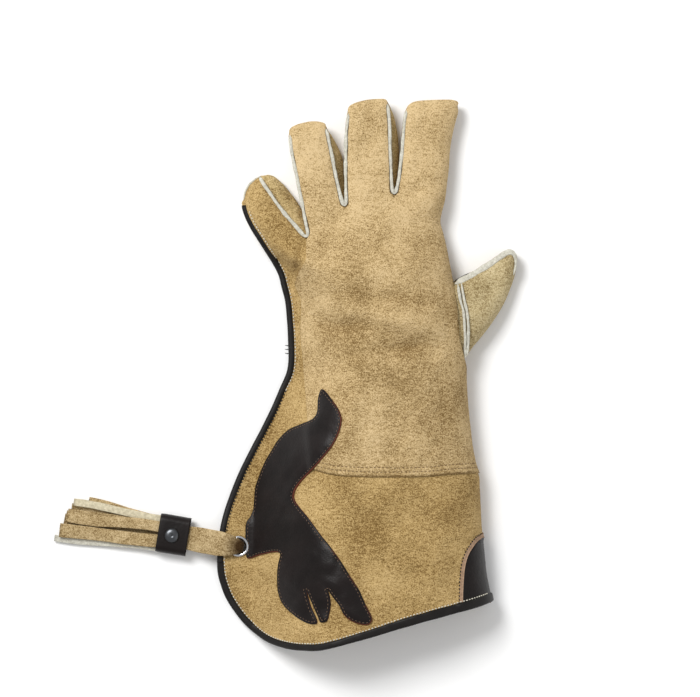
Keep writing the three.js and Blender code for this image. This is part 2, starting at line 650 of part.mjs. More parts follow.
// Second layer of suede over the hand and three fingers, in plan
const OVERLAY = table(
  ["across", "along"],
  [
    [-0.13, 0.436],
    [-0.074, 0.426],
    [0.0, 0.421],
    [0.1, 0.419],
    [0.2, 0.42],
    [0.35, 0.424],
    [0.6, 0.425],
    [0.6, 1.1],
    [-0.24, 1.1],
    [-0.158, 0.748],
    [-0.159, 0.705],
    [-0.198, 0.662],
    [-0.175, 0.633],
    [-0.178, 0.573],
    [-0.163, 0.5],
  ],
);
const plan = (rows) => rows.map((row) => [row.across * CUFF_WIDTH, alongY(row.along)]);
const OVERLAY_EDGE = 11; // height at which the layer ends behind the thumb-side fold
const overlaySkin = (low, high) =>
  gloveForm(-high, THREE_FINGERS).subtract(gloveForm(-low, FOUR)).intersect(aboveZ(OVERLAY_EDGE));
const overlayTop = FIT + OVERLAY_SUEDE;
const overlay = overlaySkin(FIT, overlayTop).intersect(column(plan(OVERLAY)));
const overlayClear = thumbForm(-WELT_REACH - FIT);
const overWelts = aboveFingerSeam(SEAM_HIGH, halfWelt + FIT);
addPiece("hand_overlay", overlay.intersect(overWelts).subtract(overlayClear), suede);

// Bird of dark leather: outline in shares of its own width and length, from its lower left corner
const BIRD_WIDTH = 95;
const BIRD_LENGTH = 175;
const BIRD_CORNER = { across: -0.39, along: 0.0485 };
const BIRD_X = BIRD_CORNER.across * CUFF_WIDTH;
const BIRD_Y = alongY(BIRD_CORNER.along);
const BIRD = table(
  ["across", "along"],
  [
    [0.614, 1.0],
    [0.744, 0.91],
    [0.764, 0.871],
    [0.744, 0.82],
    [0.63, 0.717],
    [0.449, 0.605],
    [0.402, 0.567],
    [0.394, 0.532],
    [0.425, 0.502],
    [0.598, 0.382],
    [0.744, 0.279],
    [0.89, 0.154],
    [1.0, 0.026],
    [0.975, 0.003],
    [0.92, 0.0],
    [0.835, 0.017],
    [0.764, 0.043],
    [0.67, 0.137],
    [0.655, 0.156],
    [0.677, 0.099],
    [0.67, 0.052],
    [0.638, 0.009],
    [0.583, 0.017],
    [0.49, 0.156],
    [0.496, 0.004],
    [0.394, 0.034],
    [0.307, 0.077],
    [0.268, 0.129],
    [0.268, 0.249],
    [0.283, 0.296],
    [0.236, 0.3],
    [0.134, 0.288],
    [0.016, 0.27],
    [0.0, 0.369],
    [0.008, 0.425],
    [0.067, 0.494],
    [0.118, 0.631],
    [0.22, 0.74],
    [0.35, 0.824],
    [0.543, 0.873],
    [0.583, 0.961],
  ],
);
const birdPlan = BIRD.map((row) => [BIRD_X + row.across * BIRD_WIDTH, BIRD_Y + row.along * BIRD_LENGTH]);
const BIRD_LOW = 5; // least height of the bird's leather
const clearOfFloor = aboveZ(BIRD_LOW);
const draped = (low, high) => bodyForm(-high).subtract(bodyForm(-low)).intersect(clearOfFloor);
const birdColumn = column(birdPlan);
const overStep = column(offset(plan(OVERLAY), FIT + DARK_LEATHER));
const clearOfStep = column(offset(plan(OVERLAY), FIT));
const birdHigh = draped(overlayTop + FIT, overlayTop + FIT + DARK_LEATHER).intersect(overStep);
const birdStep = draped(FIT, overlayTop + FIT + DARK_LEATHER).intersect(overStep).subtract(clearOfStep);
const birdLow = draped(FIT, FIT + DARK_LEATHER).subtract(clearOfStep);
const eyeletRim = disc(EYELET_X, EYELET_Y, EYELET_RADIUS + FIT, BELOW, CEILING);
const bird = birdHigh.add(birdStep).add(birdLow).intersect(birdColumn).subtract(eyeletRim);
addPiece("bird_applique", bird, darkLeather);

// Dark patch round the fold at the hem, and the black bindings
const PATCH = table(
  ["across", "along"],
  [
    [0.485, 0.211],
    [0.458, 0.196],
    [0.432, 0.163],
    [0.422, 0.133],
    [0.416, 0.1],
    [0.416, 0.02],
    [0.6, 0.02],
    [0.6, 0.211],
  ],
);
const patchSkin = bodyForm(-FIT - DARK_LEATHER).subtract(bodyForm(-FIT)).intersect(column(plan(PATCH)));
const PATCH_GAP = BINDING_WIDTH + FIT;
const PATCH_LOW = 3; // least height of the patch behind the fold
const patch = patchSkin.intersect(regionInside(PATCH_GAP)).intersect(aboveZ(PATCH_LOW));
addPiece("corner_patch", patch, darkLeather);

const bindingOuter = gloveForm(-FIT - BINDING_LEATHER, FOUR);
const bindingInner = gloveForm(SUEDE + FIT + BINDING_LEATHER, FOUR).intersect(gloveHollow);
const HELD_FIT = 0.6; // clearance of the binding round the edge that it holds
const insideHeld = gloveForm(SUEDE + HELD_FIT, FOUR).intersect(gloveHollow);
const held = gloveForm(-HELD_FIT, FOUR).subtract(insideHeld).intersect(regionInside(BINDING_BACK - FIT));
const seamEnd = box(-FAR, FAR, -FAR, SEAM_END_Y - FIT, OFF_FLOOR / 2, CEILING);
const binding = bindingOuter
  .subtract(bindingInner)
  .intersect(rimBand(0, BINDING_WIDTH))
  .intersect(seamEnd)
  .subtract(held);
const BINDING_JOINT = 0.148; // where the two bindings meet, as a share of GLOVE_LENGTH
const PINKY_BINDING_END = 0.806; // end of the side binding on the little finger
const PINKY_SIDE = -0.25; // share of CUFF_WIDTH
const HALF_PINKY_BINDING = 3.2;
const PINKY_OVERRUN = 8;
const SPLIT_Y = alongY(BINDING_JOINT);
const ulnarHalf = box(-FAR, 0, -FAR, FAR, BELOW, CEILING);
const sideBinding = binding.intersect(beyond(SPLIT_Y + FIT / 2)).intersect(ulnarHalf);
const alongPinky = aboveSeam(-HALF_PINKY_BINDING).subtract(aboveSeam(HALF_PINKY_BINDING));
const pinkySide = box(
  -FAR,
  PINKY_SIDE * CUFF_WIDTH,
  SEAM_END_Y - PINKY_OVERRUN,
  alongY(PINKY_BINDING_END),
  BELOW,
  CEILING,
);
const pinkyStrip = gloveForm(-HELD_FIT - BINDING_LEATHER, FOUR)
  .subtract(gloveForm(-HELD_FIT, FOUR))
  .intersect(alongPinky)
  .intersect(pinkySide);
addPiece("side_binding", sideBinding.add(pinkyStrip), blackLeather);
addPiece("hem_binding", binding.subtract(beyond(SPLIT_Y - FIT / 2)), blackLeather);

// Eyelet in the flap
const EYELET_BARREL = 5;
const EYELET_BORE = 4.2;
const EYELET_SHEET = 1.1;
const FLAP_SOLE = EDGE_LIFT + STRAP_LIFT;
const flapTop = FLAP_SOLE + FLAP_THICKNESS;
const eyeletLow = FLAP_SOLE - FIT - EYELET_SHEET;
const eyeletHigh = flapTop + FIT + EYELET_SHEET;
const eyeletProfile = [
  [EYELET_BORE, eyeletLow],
  [EYELET_RADIUS - 0.5, eyeletLow],
  [EYELET_RADIUS, FLAP_SOLE - FIT],
  [EYELET_BARREL, FLAP_SOLE - FIT],
  [EYELET_BARREL, flapTop + FIT],
  [EYELET_RADIUS, flapTop + FIT],
  [EYELET_RADIUS - 0.5, eyeletHigh],
  [EYELET_BORE, eyeletHigh],
  [EYELET_BORE, eyeletLow],
].map(([r, z]) => new THREE.Vector2(r, z));

function turned(profile, sides, x, y) {
  const geometry = new THREE.LatheGeometry(profile, sides);
  geometry.rotateX(Math.PI / 2);
  geometry.translate(x, y, 0);
  return fromGeometry(geometry);
}
addPiece("eyelet", turned(eyeletProfile, 16, EYELET_X, EYELET_Y), steel);

// Tassel, in its own line: out is the distance from the eyelet, side is across, up is the height
const TASSEL_TURN = THREE.MathUtils.degToRad(9.5);
const outward = new THREE.Vector2(-Math.cos(TASSEL_TURN), Math.sin(TASSEL_TURN));
const acrossTassel = new THREE.Vector2(outward.y, -outward.x);
const place = ([out, side, up]) => [
  EYELET_X + outward.x * out + acrossTassel.x * side,
  EYELET_Y + outward.y * out + acrossTassel.y * side,
  up,
];
const placed = (rings) => skin(rings.map((ring) => ring.map(place)));

// Flat strip through points [out, side, up, width] with rounded-off edges, THICK deep.
function strip(points, thick) {
  return placed(
    points.map(([out, side, up, width], i) => {
      const a = points[Math.max(i - 1, 0)];
      const b = points[Math.min(i + 1, points.length - 1)];
      const along = new THREE.Vector3(b[0] - a[0], b[1] - a[1], b[2] - a[2]).normalize();
      const wide = new THREE.Vector3(-along.y, along.x, 0);
      if (wide.length() < 0.3) wide.set(0, 1, 0);
      wide.normalize();
      const deep = new THREE.Vector3().crossVectors(along, wide).normalize();
      const corners = [
        [-1, -1],
        [1, -1],
        [1, 1],
        [-1, 1],
      ];
      return corners.map(([w, d]) => [
        out + (wide.x * w * width + deep.x * d * thick) / 2,
        side + (wide.y * w * width + deep.y * d * thick) / 2,
        up + (wide.z * w * width + deep.z * d * thick) / 2,
      ]);
    }),
  );
}

const STRAP_WIDTH = 14;
const STRAP_THROAT = 6.4; // width where the strap passes the eyelet
const STRAP_THICKNESS = 2;
const COLLAR_START = 37; // out along the tassel
const COLLAR_LENGTH = 22;
const COLLAR_WIDTH = 28;
const COLLAR_WALL = 1.6;
const COLLAR_LOW = 1.2;
const COLLAR_SIDES = 16;
const HEAD_THICKNESS = 4.2;
const RIVET_POST = 2;
const lowLayer = COLLAR_LOW + COLLAR_WALL + FIT + STRAP_THICKNESS / 2;
const headMiddle = lowLayer + STRAP_THICKNESS / 2 + FIT + HEAD_THICKNESS / 2;
const highLayer = headMiddle + HEAD_THICKNESS / 2 + FIT + STRAP_THICKNESS / 2;
const collarHigh = highLayer + STRAP_THICKNESS / 2 + FIT + COLLAR_WALL;
const rivetOut = COLLAR_START + 0.55 * COLLAR_LENGTH;
const strapEnd = COLLAR_START + COLLAR_LENGTH - 1;
const overRim = flapTop + FIT + EYELET_SHEET + 2 + STRAP_THICKNESS / 2;
const [rivetX, rivetY] = place([rivetOut, 0, 0]);
const postHole = disc(rivetX, rivetY, RIVET_POST + FIT, BELOW, CEILING);
const strap = strip(
  [
    [strapEnd, 0, highLayer, STRAP_WIDTH],
    [COLLAR_START - 1, 0, highLayer, STRAP_WIDTH],
    [24, 0, overRim - 0.6, STRAP_WIDTH + 1],
    [15, 0, overRim, STRAP_WIDTH + 1],
    [7, 0, overRim, STRAP_WIDTH - 2],
    [2.6, 0, overRim - 0.4, STRAP_THROAT + 2],
    [0.5, 0, overRim - 2.4, STRAP_THROAT],
    [0, 0, overRim / 2, STRAP_THROAT],
    [0.6, 0, 2.4, STRAP_THROAT],
    [2.4, 0, 1.25, STRAP_THROAT + 0.6],
    [7, 0, 1.2, STRAP_WIDTH - 2],
    [15, 0, 1.2, STRAP_WIDTH],
    [24, 0, 1.3, STRAP_WIDTH],
    [COLLAR_START - 1, 0, lowLayer, STRAP_WIDTH],
    [strapEnd, 0, lowLayer, STRAP_WIDTH],
  ],
  STRAP_THICKNESS,
);
addPiece("tassel_strap", strap.subtract(postHole), suede);

function sleeve(inset, from, to) {
  const halfWidth = COLLAR_WIDTH / 2 - inset;
  const middle = (COLLAR_LOW + collarHigh) / 2;
  const halfHeight = (collarHigh - COLLAR_LOW) / 2 - inset;
  return placed(
    [from, to].map((out) => {
      const ring = [];
      for (let i = 0; i < COLLAR_SIDES; i += 1) {
        const angle = ((i + 0.5) / COLLAR_SIDES) * 2 * Math.PI;
        ring.push([
          out,
          halfWidth * power(Math.cos(angle), 0.5),
          middle + halfHeight * power(Math.sin(angle), 0.3),
        ]);
      }
      return ring;
    }),
  );
}
const collarEnd = COLLAR_START + COLLAR_LENGTH;
const collarInside = sleeve(COLLAR_WALL, COLLAR_START - COLLAR_WALL, collarEnd + COLLAR_WALL);
const collar = sleeve(0, COLLAR_START, collarEnd).subtract(collarInside);
addPiece("tassel_collar", collar.subtract(postHole), darkLeather);

const RIVET_HEAD = 5.2;
const rivetProfile = [
  [0, 0],
  [4, 0],
  [4, COLLAR_LOW - FIT],
  [RIVET_POST, COLLAR_LOW - FIT],
  [RIVET_POST, collarHigh + FIT],
  [RIVET_HEAD, collarHigh + FIT],
  [RIVET_HEAD, collarHigh + FIT + 0.7],
  [3.4, collarHigh + FIT + 1.7],
  [0, collarHigh + FIT + 2],
].map(([r, z]) => new THREE.Vector2(r, z));
addPiece("collar_rivet", turned(rivetProfile, 14, rivetX, rivetY), gunmetal);

// Strips of the fringe: side and width are shares of COLLAR_WIDTH, reach beyond the collar is a share of
// FRINGE_LENGTH, and the heights are in layers of STRIP_THICKNESS, counted from the head's middle and, at the
// strip's end, from the floor.
const FRINGE_LENGTH = 75;
const STRIP_THICKNESS = 2;
const FRINGE = table(
  ["side", "layer", "endSide", "endLayer", "reach", "width"],
  [
    [-0.268, -0.5, -0.5, 0.55, 0.973, 0.286],
    [0, -0.5, -0.071, 0.55, 0.947, 0.321],
    [0.268, -0.5, 0.321, 0.55, 0.907, 0.321],
    [-0.143, 0, -0.268, 1.7, 1, 0.339],
    [0.143, 0, 0.161, 1.7, 0.987, 0.339],
    [0.286, 0.5, 0.5, 2.8, 0.853, 0.286],
    [0, 0.5, 0.036, 2.9, 0.947, 0.321],
  ],
);
const FRINGE_SINK = 1.4; // how soon a strip comes down to its end's height
const STRIP_SAMPLES = [-0.1, 0.1, 0.35, 0.6, 1]; // where a strip's sections lie, as shares of its reach
let fringe = strip(
  [
    [COLLAR_START + 2, 0, headMiddle, 22],
    [collarEnd + 5, 0, headMiddle, 23],
  ],
  HEAD_THICKNESS,
);
for (const f of FRINGE) {
  const start = headMiddle + f.layer * STRIP_THICKNESS;
  const at = (t) => [
    collarEnd + 1 + f.reach * FRINGE_LENGTH * t,
    mix(f.side, f.endSide, t) * COLLAR_WIDTH,
    mix(start, f.endLayer * STRIP_THICKNESS, smooth(t * FRINGE_SINK)),
    f.width * COLLAR_WIDTH,
  ];
  fringe = fringe.add(strip(STRIP_SAMPLES.map(at), STRIP_THICKNESS));
}
addPiece("tassel_fringe", fringe.subtract(postHole), suede);

group.updateMatrixWorld(true);
const bounds = new THREE.Box3().setFromObject(group);
const centre = bounds.getCenter(new THREE.Vector3());
group.position.set(-centre.x, -centre.y, -bounds.min.z);
group.updateMatrixWorld(true);
export default group;
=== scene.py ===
"""Looks of a left-hand suede falconry gauntlet with a tassel, lying palm down, as a Blender add-on."""

import math

import bpy
import numpy as np
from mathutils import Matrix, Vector, geometry, kdtree


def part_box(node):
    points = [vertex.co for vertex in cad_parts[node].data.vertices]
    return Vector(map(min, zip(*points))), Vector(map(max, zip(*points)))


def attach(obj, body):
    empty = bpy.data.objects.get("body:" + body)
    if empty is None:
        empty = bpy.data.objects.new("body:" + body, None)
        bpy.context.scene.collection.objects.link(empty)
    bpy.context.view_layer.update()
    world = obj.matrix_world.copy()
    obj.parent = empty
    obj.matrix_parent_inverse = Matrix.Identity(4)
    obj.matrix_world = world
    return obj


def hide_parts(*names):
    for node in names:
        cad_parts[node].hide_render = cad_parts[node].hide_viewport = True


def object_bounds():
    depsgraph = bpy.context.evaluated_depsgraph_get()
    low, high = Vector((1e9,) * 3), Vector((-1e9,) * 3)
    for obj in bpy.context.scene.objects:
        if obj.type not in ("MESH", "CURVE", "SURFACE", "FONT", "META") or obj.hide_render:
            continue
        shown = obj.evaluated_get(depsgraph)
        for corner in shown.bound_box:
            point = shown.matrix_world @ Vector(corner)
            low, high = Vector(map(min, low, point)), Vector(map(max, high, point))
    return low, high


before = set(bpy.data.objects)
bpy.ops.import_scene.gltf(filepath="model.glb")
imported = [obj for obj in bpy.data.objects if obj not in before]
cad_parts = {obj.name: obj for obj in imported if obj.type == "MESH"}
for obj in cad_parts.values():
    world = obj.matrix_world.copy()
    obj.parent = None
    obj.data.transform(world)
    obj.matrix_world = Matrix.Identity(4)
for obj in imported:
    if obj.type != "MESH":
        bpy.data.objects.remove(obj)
CAD_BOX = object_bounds()

bl_info = {
    "name": "Falconry glove",
    "version": (1, 0, 0),
    "blender": (4, 5, 0),
    "location": "View3D > Sidebar > Glove",
    "description": "Builds the suede, leather and metal of a falconry gauntlet round its frame",
    "category": "Object",
}

MM = 0.001
PHOTO_MM = 0.75  # millimetres of the glove to a pixel of the photograph
PHOTO_MIDDLE = (350.0, 348.5)  # pixel that is the plan's origin

# Sizes in millimetres, as in the frame
GLOVE_LENGTH = 412.0
CUFF_WIDTH = 202.0
CROWN_HEIGHT = 56.0
SUEDE = 2.0
WELT_WIDTH = 2.7
WELT_INSET = 1.25
SEAM_ALLOWANCE = 3.5
TIP_ALLOWANCE = 1.3
OVERLAY_SUEDE = 1.8
DARK_LEATHER = 1.4
FINGER_HEIGHT = 27.0
FINGERTIP_HEIGHT = 20.0
FOLD_RADIUS = 13.0
FLAP_THICKNESS = 4.3
EDGE_LIFT = 2.1
STRAP_LIFT = 2.2
STRAP_LIFT_SPAN = 17.0
EDGE_FADE = 28.0
KNUCKLE_FADE = 62.0
BINDING_WIDTH = 5.0
SEAM_ROLLS_FROM = 262  # row of the photograph below which no finger seam reaches, on the back and on the palm
PALM_ROLLS_FROM = 250
SIDE_BINDING_ROWS = (205, 566)
SIDE_STITCH_ROWS = (212, 562)
BLACK_STITCH_ROWS = (392, 552)
THREAD_END_ROWS = (345, 349, 353)
BINDING_MIDDLE = 0.42  # share of the binding's width from the glove's edge to its middle
STITCH_LENGTH = 1.8
STITCH_PITCH = 2.5
FLOOR_GAP = 0.03  # least height of any point above the floor
EYELET_HOLE = 5.7  # radius of the hole in the suede; faces nearer than the cut are dropped
EYELET_CUT = 5.6
PINKY_FROM = 58.0  # where the outer side turns into the little finger, and over what length
PINKY_EASE = 26.0
HEM_STITCHES = (3.6, 6.8)  # rows of stitches above the overlay's hem
CHUNK = 4000  # points measured at a time
TRIANGLE_ROW = 0.866  # height of an even triangle whose side is 1
HEM_Y = -0.5 * GLOVE_LENGTH - 18.6
EYELET_PLAN = np.array([-0.415 * CUFF_WIDTH, HEM_Y + 0.184 * GLOVE_LENGTH])

_low, _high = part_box("eyelet")
SHIFT = np.array([(_low.x + _high.x) / 2 / MM, (_low.y + _high.y) / 2 / MM]) - EYELET_PLAN


def plan(pixels):
    """Pixels of the photograph as plan coordinates in millimetres."""
    p = np.asarray(pixels, float)
    return np.stack(
        [(p[..., 0] - PHOTO_MIDDLE[0]) * PHOTO_MM, (PHOTO_MIDDLE[1] - p[..., 1]) * PHOTO_MM], -1
    )


def row_y(v):
    return plan((0, v))[1]


def column_x(u):
    return plan((u, 0))[0]


def along_y(share):
    return HEM_Y + share * GLOVE_LENGTH


def smooth(v):
    t = np.clip(v, 0, 1)
    return t * t * (3 - 2 * t)


def mix(a, b, t):
    return a + (b - a) * t


def ridge(d, at, width):
    """1 where d is at, falling away on both sides."""
    return np.exp(-(((d - at) / width) ** 2))


def rounded_off(d, reach):
    """1 at an edge, falling to 0 at reach from it as a quarter circle does."""
    return 1 - np.sqrt(1 - (1 - np.clip(d / reach, 0, 1)) ** 2)


def raised(line, height, lift=0.0):
    """Plan points laid on a height function and lifted off it."""
    return np.column_stack([line, height(line[:, 0], line[:, 1]) + lift])


def pinky_share(y):
    """0 on the hand and 1 on the little finger."""
    return smooth((y - PINKY_FROM) / PINKY_EASE)


def unit(vectors, least=0.0):
    return vectors / np.maximum(np.linalg.norm(vectors, axis=1), least)[:, None]


def run_length(line):
    """Length along a line at each of its points."""
    return np.concatenate([[0], np.cumsum(np.linalg.norm(np.diff(line, axis=0), axis=1))])


class Profile:
    """Smooth curve through a short table's column, read at any key."""

    def __init__(self, keys, values):
        order = np.argsort(keys)
        self.k = np.asarray(keys, float)[order]
        self.v = np.asarray(values, float)[order]
        slope = np.diff(self.v) / np.diff(self.k)
        self.m = np.concatenate([[slope[0]], (slope[:-1] + slope[1:]) / 2, [slope[-1]]])

    def __call__(self, key):
        x = np.clip(key, self.k[0], self.k[-1])
        i = np.clip(np.searchsorted(self.k, x, side="right") - 1, 0, len(self.k) - 2)
        h = self.k[i + 1] - self.k[i]
        t = (x - self.k[i]) / h
        a = (1 + 2 * t) * (1 - t) ** 2 * self.v[i] + t * t * (3 - 2 * t) * self.v[i + 1]
        return a + h * t * (1 - t) * ((1 - t) * self.m[i] - t * self.m[i + 1])


# Gauntlet: along is a share of the length, crown of the crown's height, flap of the cuff's width
BODY = [
    # along, crown, flap
    (-0.03, 0.97, 0.13),
    (0.06, 0.98, 0.13),
    (0.145, 1.0, 0.13),
    (0.184, 0.995, 0.128),
    (0.222, 0.98, 0.12),
    (0.29, 0.95, 0.085),
    (0.33, 0.93, 0.06),
    (0.376, 0.91, 0.045),
    (0.42, 0.89, 0.04),
    (0.506, 0.86, 0.04),
    (0.615, 0.85, 0.04),
    (0.66, 0.84, 0.04),
    (0.743, 0.78, 0.02),
    (0.84, 0.66, 0.01),
]
crown_at = Profile([along_y(r[0]) for r in BODY], [r[1] * CROWN_HEIGHT for r in BODY])
flap_at = Profile([along_y(r[0]) for r in BODY], [r[2] * CUFF_WIDTH for r in BODY])

# Silhouette in the photograph: row v, left and right u
LEFT_EDGE = [
    (170, 262), (178, 250), (186, 246), (196, 242.5), (206, 242), (216, 245), (226, 250), (238, 257.5), (250, 265),
    (262, 272.5), (274, 278.5), (286, 281.5), (300, 285), (320, 287), (345, 288.5), (362, 288.5), (374, 286.5),
    (390, 279.5), (410, 271), (430, 261), (450, 250.5), (470, 240.5), (490, 232), (510, 225), (530, 220),
    (550, 217.5), (568, 217), (600, 217), (660, 217),
]
RIGHT_EDGE = [
    (95, 461.2), (103, 461), (108, 459.6), (114, 457.8), (120, 456), (136, 452.2), (152, 450), (168, 449),
    (184, 447), (200, 445), (214, 441.5),
    (222, 440.5), (232, 443), (246, 446.5), (264, 450), (283, 454), (298, 459), (312, 463), (334, 466), (358, 467),
    (382, 467), (406, 468.5), (430, 471), (454, 474.3), (466, 477.5), (474, 479.5), (486, 480), (502, 480.8),
    (526, 482), (550, 484.5),
    (574, 487), (592, 490.5), (604, 493), (660, 500),
]


def edge_profile(rows):
    p = plan([(u, v) for v, u in rows])
    return Profile(p[:, 1], p[:, 0])


left_at = edge_profile(LEFT_EDGE)
silhouette_right = edge_profile(RIGHT_EDGE)
OVERLAY_HEM_Y = row_y(473)
PATCH_TOP_Y = row_y(535)


def right_at(y):
    """Thumb side of the first layer: it lies inside the overlay above its hem and inside the corner patch."""
    over = 1.9 * smooth((y - OVERLAY_HEM_Y + 6) / 16)
    return silhouette_right(y) - over - 1.5 * smooth((PATCH_TOP_Y - y) / 6)


# Bound hem of the cuff, from the end of the outer seam to the corner on the thumb's side
HEM = [
    (217, 562), (218, 575), (221.5, 588), (226, 599), (232, 609), (241, 621), (252, 632), (263, 640), (275, 645),
    (290, 648), (304, 648.7), (318, 648), (334, 644.5), (352, 639.5), (372, 634), (411, 622.5), (457, 610.5),
    (478, 605), (490.3, 601.6),
]

KNUCKLES = [(-400, 0.735), (-67, 0.74), (-32, 0.748), (-4, 0.804), (33, 0.826), (400, 0.826)]


def knuckle_y(x):
    return along_y(np.interp(x, [k[0] for k in KNUCKLES], [k[1] for k in KNUCKLES]))


def smooth_line(points, step, closed=False):
    """Even points along a smooth curve through the given ones; a point given twice stays a corner."""
    p = np.asarray(points, float)
    n = len(p)
    out = []
    last = n if closed else n - 1
    for i in range(last):
        a, b = p[i], p[(i + 1) % n]
        if np.allclose(a, b):
            continue
        before = p[(i - 1) % n] if closed or i > 0 else 2 * a - b
        after = p[(i + 2) % n] if closed or i < n - 2 else 2 * b - a
        chord = np.linalg.norm(b - a)
        ma = mb = b - a
        if not np.allclose(before, a):
            ma = (b - before) / (chord + np.linalg.norm(a - before)) * chord
        if not np.allclose(after, b):
            mb = (after - a) / (chord + np.linalg.norm(after - b)) * chord
        t = np.linspace(0, 1, 12, endpoint=False)[:, None]
        h = (1 + 2 * t) * (1 - t) ** 2 * a + t * t * (3 - 2 * t) * b
        out.append(h + t * (1 - t) * ((1 - t) * ma - t * mb))
    line = np.concatenate(out + ([] if closed else [p[-1:]]))
    if closed:
        line = np.concatenate([line, line[:1]])
    length = run_length(line)
    count = max(int(round(length[-1] / step)), 3)
    at = np.linspace(0, length[-1], count + 1)
    even = np.stack([np.interp(at, length, line[:, k]) for k in range(line.shape[1])], -1)
    return even[:-1] if closed else even


HEM_LINE = smooth_line(plan(HEM), 1.5)


def distance(points, line, closed=False):
    """Distance to a polyline and the share of its length where the nearest point lies."""
    a = line
    b = np.roll(line, -1, axis=0)
    if not closed:
        a, b = a[:-1], b[:-1]
    ab = b - a
    best = np.full(len(points), 1e9)
    share = np.zeros(len(points))
    for i in range(0, len(points), CHUNK):
        p = points[i : i + CHUNK]
        ap = p[:, None, :] - a[None]
        t = np.clip((ap * ab).sum(-1) / np.maximum((ab * ab).sum(-1), 1e-12), 0, 1)
        d = np.linalg.norm(ap - t[..., None] * ab, axis=-1)
        j = d.argmin(1)
        rows = np.arange(len(p))
        best[i : i + CHUNK] = d[rows, j]
        share[i : i + CHUNK] = (j + t[rows, j]) / len(a)
    return best, share


def inside(points, outline):
    a = outline
    b = np.roll(outline, -1, axis=0)
    result = np.zeros(len(points), bool)
    for i in range(0, len(points), CHUNK):
        p = points[i : i + CHUNK]
        y = p[:, 1:2]
        crosses = (a[None, :, 1] > y) != (b[None, :, 1] > y)
        with np.errstate(divide="ignore", invalid="ignore"):
            x = a[:, 0] + (y - a[:, 1]) / (b[:, 1] - a[:, 1]) * (b[:, 0] - a[:, 0])
        result[i : i + CHUNK] = (crosses & (p[:, 0:1] < x)).sum(1) % 2 == 1
    return result


# Seams of the fingers on the back of the hand, in pixels
PINKY_TIP = [(243, 200), (243.5, 194), (245.5, 188.5), (248.5, 184), (252, 181), (256, 177.7), (260.5, 175.5)]
PINKY_SEAM = [(260.5, 175.5), (267, 186.5), (273.5, 195.5), (281.5, 207), (289.5, 216.8), (298, 226.5), (307, 237)]
RING_LEFT = [(307, 237), (302, 213), (298.5, 194), (295, 176), (291, 156), (289, 143), (288.5, 136)]
RING_TIP = [(288.5, 136), (290, 129), (295, 125.5), (303, 123), (312, 121.5), (320, 122), (325, 124), (327.5, 129)]
RING_RIGHT = [(327.5, 129), (331, 144), (334.5, 162), (338, 180), (342, 196), (345, 206)]
MIDDLE_LEFT = [(345, 206), (344.5, 190), (344, 165), (344.5, 140), (345.5, 124), (347, 114)]
MIDDLE_TIP = [(347, 114), (349, 107), (354, 103.5), (362, 101), (370, 99.5), (379, 99), (386, 99.5), (389, 104)]
MIDDLE_RIGHT = [(389, 104), (390.5, 118), (391.5, 140), (392.3, 165), (393, 184), (394, 194)]
INDEX_LEFT = [(394, 194), (396.5, 182), (399, 165), (400.5, 148), (401.5, 134), (403, 120), (405, 111)]
INDEX_TIP = [
    (405, 111), (408, 106), (414, 102), (424, 100.5), (436, 100), (447, 99.7), (454.5, 99.8), (457.7, 100.8),
    (458.8, 103),
]

SEAMS = {
    # name: (points, drop at the start, in the middle and at the end, reach of the roll)
    "pinky_tip": (PINKY_TIP, 0, 2, 7, 10),
    "pinky_seam": (PINKY_SEAM, 7, 6.5, 3, 12),
    "ring_left": (RING_LEFT, 3, 6.5, 8, 11),
    "ring_tip": (RING_TIP, 8, 8.5, 8, 11),
    "ring_right": (RING_RIGHT, 8, 6.5, 3, 11),
    "middle_left": (MIDDLE_LEFT, 3, 6.5, 8, 11),
    "middle_tip": (MIDDLE_TIP, 8, 8.5, 8, 11),
    "middle_right": (MIDDLE_RIGHT, 8, 6.5, 3, 11),
    "index_left": (INDEX_LEFT, 3, 6.5, 8, 11),
    "index_tip": (INDEX_TIP, 8, 8.5, 8, 11),
}
SEAM_LINES = {name: smooth_line(plan(s[0]), 1.2) for name, s in SEAMS.items()}

# Folds and dents of the upper leather: middle in pixels, half length and width in mm, turn in degrees, height in mm
FOLDS = [
    (340, 325, 24, 8, -6, -4.6),
    (296.5, 269, 15, 4, 76, -4.6),
    (290.5, 267, 9, 3, 80, 1.8),
    (305, 262, 15, 6, 78, 2.5),
    (400, 320, 25, 7, -16, 5.2),
    (388, 299, 26, 7, -4, -2.6),
    (404, 348, 28, 8, 4, -4.2),
    (451, 319, 8, 20, 10, -4.0),
    (443, 402, 10, 26, 4, -2.0),
    (377, 522, 40, 16, 20, -2.0),
    (323, 428, 30, 12, 50, 2.0),
]


# Unevenness of the upper leather: height and size of the bumps in mm, seed
RIPPLES = [(0.5, 42, 3), (0.28, 17, 5), (0.12, 8, 8)]


def fold_height(x, y):
    total = np.zeros_like(x)
    for u, v, half, width, turn, height in FOLDS:
        cx, cy = plan((u, v))
        c, s = math.cos(math.radians(turn)), math.sin(math.radians(turn))
        a = ((x - cx) * c + (y - cy) * s) / half
        b = ((y - cy) * c - (x - cx) * s) / width
        total += height * np.exp(-a * a - b * b)
    return total


def ripple(x, y, size, seed, waves=9):
    """Soft uneven rise and fall with bumps about size across."""
    rng = np.random.default_rng(seed)
    total = np.zeros_like(x)
    for _ in range(waves):
        angle = rng.uniform(0, 2 * math.pi)
        k = 2 * math.pi / (size * rng.uniform(0.7, 1.6))
        total += np.sin(k * (x * math.cos(angle) + y * math.sin(angle)) + rng.uniform(0, 6.28))
    return total / math.sqrt(waves)


def hem_gap(x, y):
    """How far a plan point lies above the hem."""
    order = np.argsort(HEM_LINE[:, 0])
    return y - np.interp(x, HEM_LINE[order, 0], HEM_LINE[order, 1])


